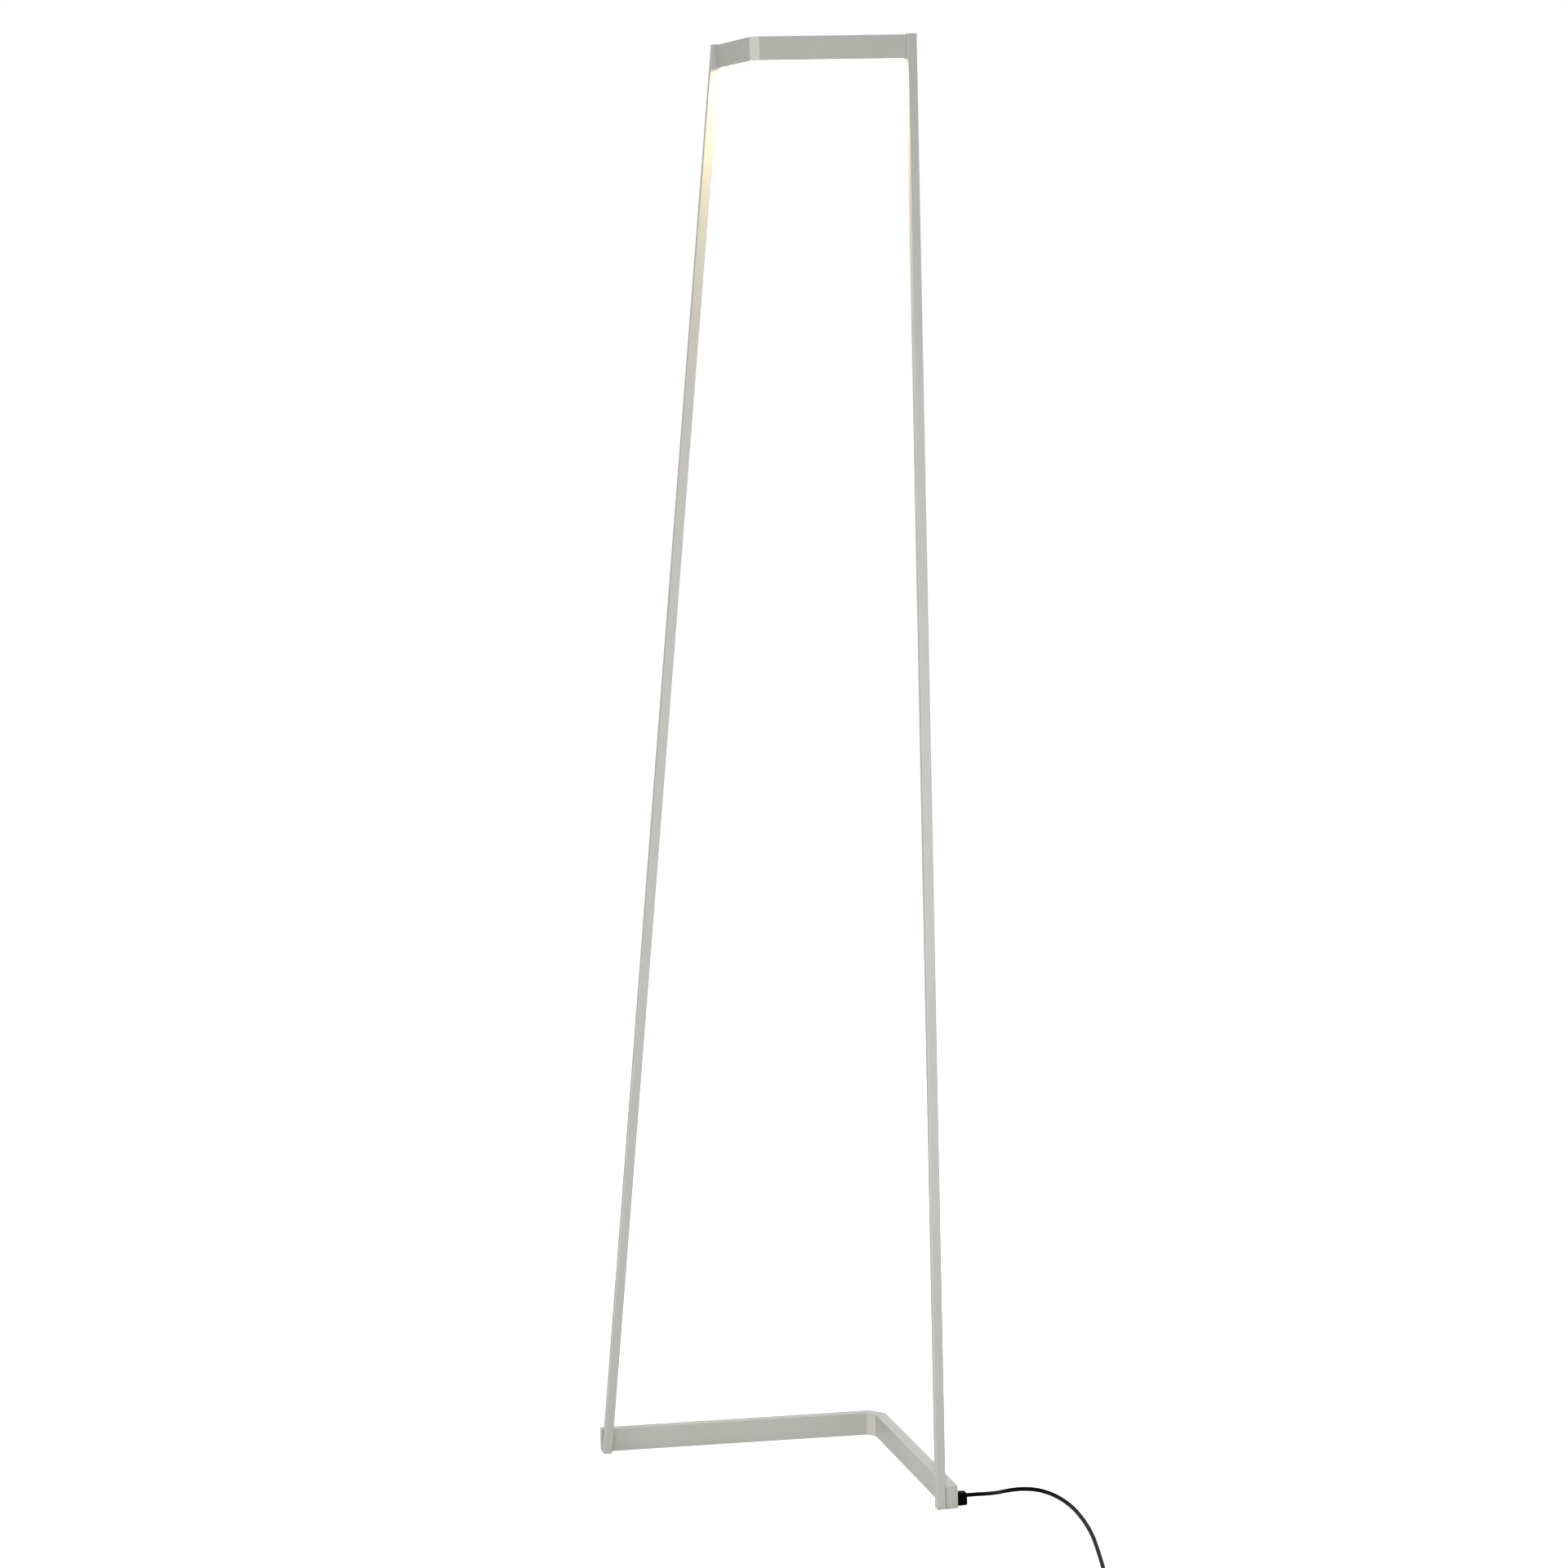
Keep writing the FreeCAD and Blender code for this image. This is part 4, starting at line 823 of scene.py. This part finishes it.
materials = {
    "frame_paint": makePaint("greyPaint", paintLook),
    "plate_paint": makePlastic("plateCoat", fromScreen(92, 91, 89), roughness=0.6),
    "steel": makeMetal("zincPlate", fromScreen(188, 188, 184), roughness=0.38),
    "ballast_iron": makeMetal("rawIron", fromScreen(92, 90, 88), roughness=0.6, tint=0.3,
                              metallic=0.8),
    "pad_rubber": makePlastic("padRubber", fromScreen(40, 40, 40), roughness=0.75,
                              grainScale=700, bumpStrength=0.5),
    "foot_plastic": makePlastic("footPlug", fromScreen(182, 182, 177), roughness=0.5),
    "carrier_aluminium": makeMetal("millAluminium", fromScreen(205, 206, 208), roughness=0.4,
                                   stretch=(12, 12, 1)),
    "board_white": makePlastic("whiteMask", fromScreen(236, 236, 230), roughness=0.5),
    "chip_yellow": makeGlow("phosphor", chipLook),
    "opal": makeGlow("opalStrip", opalLook),
    "driver_plastic": makePlastic("driverShell", fromScreen(232, 232, 226), roughness=0.5),
    "board_green": makePlastic("greenMask", fromScreen(38, 92, 52), roughness=0.35),
    "terminal_plastic": makePlastic("terminalNylon", fromScreen(222, 220, 208), roughness=0.5),
    "wire_plastic": makePlastic("wireSleeve", fromScreen(205, 205, 200), roughness=0.4),
    "grip_plastic": makePlastic("gripPlastic", black, roughness=0.55, gloss=0.02,
                                grainScale=1100, bumpStrength=0.35),
    "cord_plastic": makeCord("cordSleeve", cordLook),
    "tie_plastic": makePlastic("tieStrap", fromScreen(16, 16, 17), roughness=0.7, gloss=0.1,
                               grainScale=1800, bumpStrength=0.6),
    "switch_plastic": makePlastic("switchShell", fromScreen(12, 12, 13), roughness=0.48,
                                  gloss=0.15, grainScale=1000, bumpStrength=0.35),
    "button_plastic": makePlastic("buttonCap", fromScreen(26, 26, 27), roughness=0.35, gloss=0.2,
                                  grainScale=1500, bumpStrength=0.15),
    "contact_plastic": makePlastic("contactBase", fromScreen(110, 74, 48)),
    "pin_metal": makeMetal("nickelPins", fromScreen(214, 212, 204), roughness=0.22),
}

for part in frame["record"]["subparts"]:
    mesh = nodes[part["node"]].data
    mesh.materials.clear()
    mesh.materials.append(materials[part["material_slot"]])
for piece in (runPiece, leadPiece):
    piece.data.materials.append(materials["cord_plastic"])
for piece, slotName in ownPieces:
    piece.data.materials.append(materials[slotName])
print("materials made")


# floor and world

stage = {
    "size": 240,
    "floorLevel": -0.0002,
    "floorColour": (0.72, 0.72, 0.72),
    "floorRoughness": 0.9,
    "floorLift": 0.78,
    "worldLevel": 0.33,
}


def makeFloor(look):
    mesh = bpy.data.meshes.new("floor")
    half = look["size"] / 2
    corners = [(-half, -half, 0), (half, -half, 0), (half, half, 0), (-half, half, 0)]
    mesh.from_pydata(corners, [], [(0, 1, 2, 3)])
    floor = addObject("floor", mesh)
    floor.location.z = look["floorLevel"]
    g = Graph(bpy.data.materials.new("paleFloor"))
    top = g.surface({
        "Base Color": look["floorColour"],
        "Roughness": look["floorRoughness"],
        "Specular IOR Level": 0,
        "Emission Color": g.mix(g.backdropRays(), (0, 0, 0), (1, 1, 1)),
        "Emission Strength": look["floorLift"],
    })
    # a camera below the floor looks through it
    below = (g.add("ShaderNodeNewGeometry", output="Backfacing")
             * g.add("ShaderNodeLightPath", output="Is Camera Ray"))
    through = g.add("ShaderNodeBsdfTransparent")
    shown = g.add("ShaderNodeMixShader", inputs={0: below, 1: top, 2: through})
    g.add("ShaderNodeOutputMaterial", inputs={0: shown})
    mesh.materials.append(g.holder)


def makeWorld(look):
    world = bpy.data.worlds.new("paleWorld")
    bpy.context.scene.world = world
    g = Graph(world)
    level = g.spread(g.backdropRays(), low=0, high=1, toLow=look["worldLevel"])
    back = g.add("ShaderNodeBackground", inputs={"Color": (1, 1, 1), "Strength": level})
    g.add("ShaderNodeOutputWorld", inputs={0: back})


# soft lamps: the two sheens show only as gloss, on the folds that face them

softLamps = [
    {"name": "leftHigh", "place": (-1.76, -2.66, 2.0), "aim": (0, 0, 2.0),
     "wide": 0.8, "tall": 1.0, "power": 10, "colour": (1, 0.96, 0.89)},
    {"name": "leftLow", "place": (-1.76, -2.66, 0.6), "aim": (0, 0, 0.6),
     "wide": 0.8, "tall": 0.8, "power": 6, "colour": (1, 0.98, 0.95)},
    {"name": "frontLow", "place": (0.5, -2.4, 0.5), "aim": (0, 0, 0.2),
     "wide": 0.6, "tall": 0.5, "power": 4.5, "colour": (1, 0.99, 0.96)},
    {"name": "foldSheenHigh", "place": (-1.76, -2.66, 2.04), "aim": (0, 0, 1.9),
     "wide": 1.4, "tall": 1.2, "power": 17, "colour": (1, 0.96, 0.83), "spread": 40,
     "glossOnly": True},
    {"name": "foldSheenLow", "place": (-1.76, -2.66, 0.22), "aim": (0, 0.1, 0.02),
     "wide": 1.4, "tall": 0.36, "power": 30, "colour": (1, 0.99, 0.94), "spread": 40,
     "glossOnly": True},
    {"name": "frontLamp", "place": (1.05, -1.45, 1.05), "aim": (0, 0, 1.05),
     "wide": 0.6, "tall": 0.4, "power": 14, "colour": (1, 1, 1)},
    {"name": "sideLamp", "place": (1.0, -0.7, 1.0), "aim": (0, 0, 1.0),
     "wide": 0.4, "tall": 0.4, "power": 1.2, "colour": (1, 1, 1)},
    {"name": "backLamp", "place": (0.7, 3.0, 1.7), "aim": (0, 0, 1.0),
     "wide": 1.6, "tall": 2.0, "power": 58, "colour": (1, 1, 1)},
    {"name": "topLamp", "place": (0, 0, 4.2), "aim": (0, 0, 0),
     "wide": 2.4, "tall": 2.4, "power": 54, "colour": (1, 1, 1)},
]


def areaLamp(name, place, turn, wide, tall, look):
    data = bpy.data.lights.new(name, "AREA")
    data.shape = "RECTANGLE"
    data.size = wide
    data.size_y = tall
    data.energy = look["power"]
    data.color = look["colour"]
    data.spread = math.radians(look.get("spread", 180))
    lamp = addObject(name, data)
    lamp.location = place
    lamp.rotation_euler = turn
    lamp.visible_camera = False
    lamp.visible_diffuse = not look.get("glossOnly", False)


def makeSoftLamp(look):
    way = Vector(look["aim"]) - Vector(look["place"])
    turn = way.to_track_quat("-Z", "Y").to_euler()
    areaLamp(look["name"], look["place"], turn, look["wide"], look["tall"], look)


# the lamp's own light, under each half of the strip

stripGlow = {
    "end": (0.126, 0.0285),
    "corner": (0.0106, -0.0818),
    "level": 1.8685,
    "wide": 0.010,
    "colour": (1.0, 0.77, 0.40),
    "power": 0.55,
}


def makeStripGlow(look):
    for name, side in (("stripGlowLeft", -1), ("stripGlowRight", 1)):
        end = Vector((look["end"][0] * side, look["end"][1]))
        corner = Vector((look["corner"][0] * side, look["corner"][1]))
        run = corner - end
        place = (*((corner + end) / 2), look["level"])
        turn = (0, 0, math.atan2(run.y, run.x))
        areaLamp(name, place, turn, run.length, look["wide"], look)


makeFloor(stage)
makeWorld(stage)
for look in softLamps:
    makeSoftLamp(look)
makeStripGlow(stripGlow)
bpy.context.scene.view_settings.view_transform = "Standard"
print("stage made")
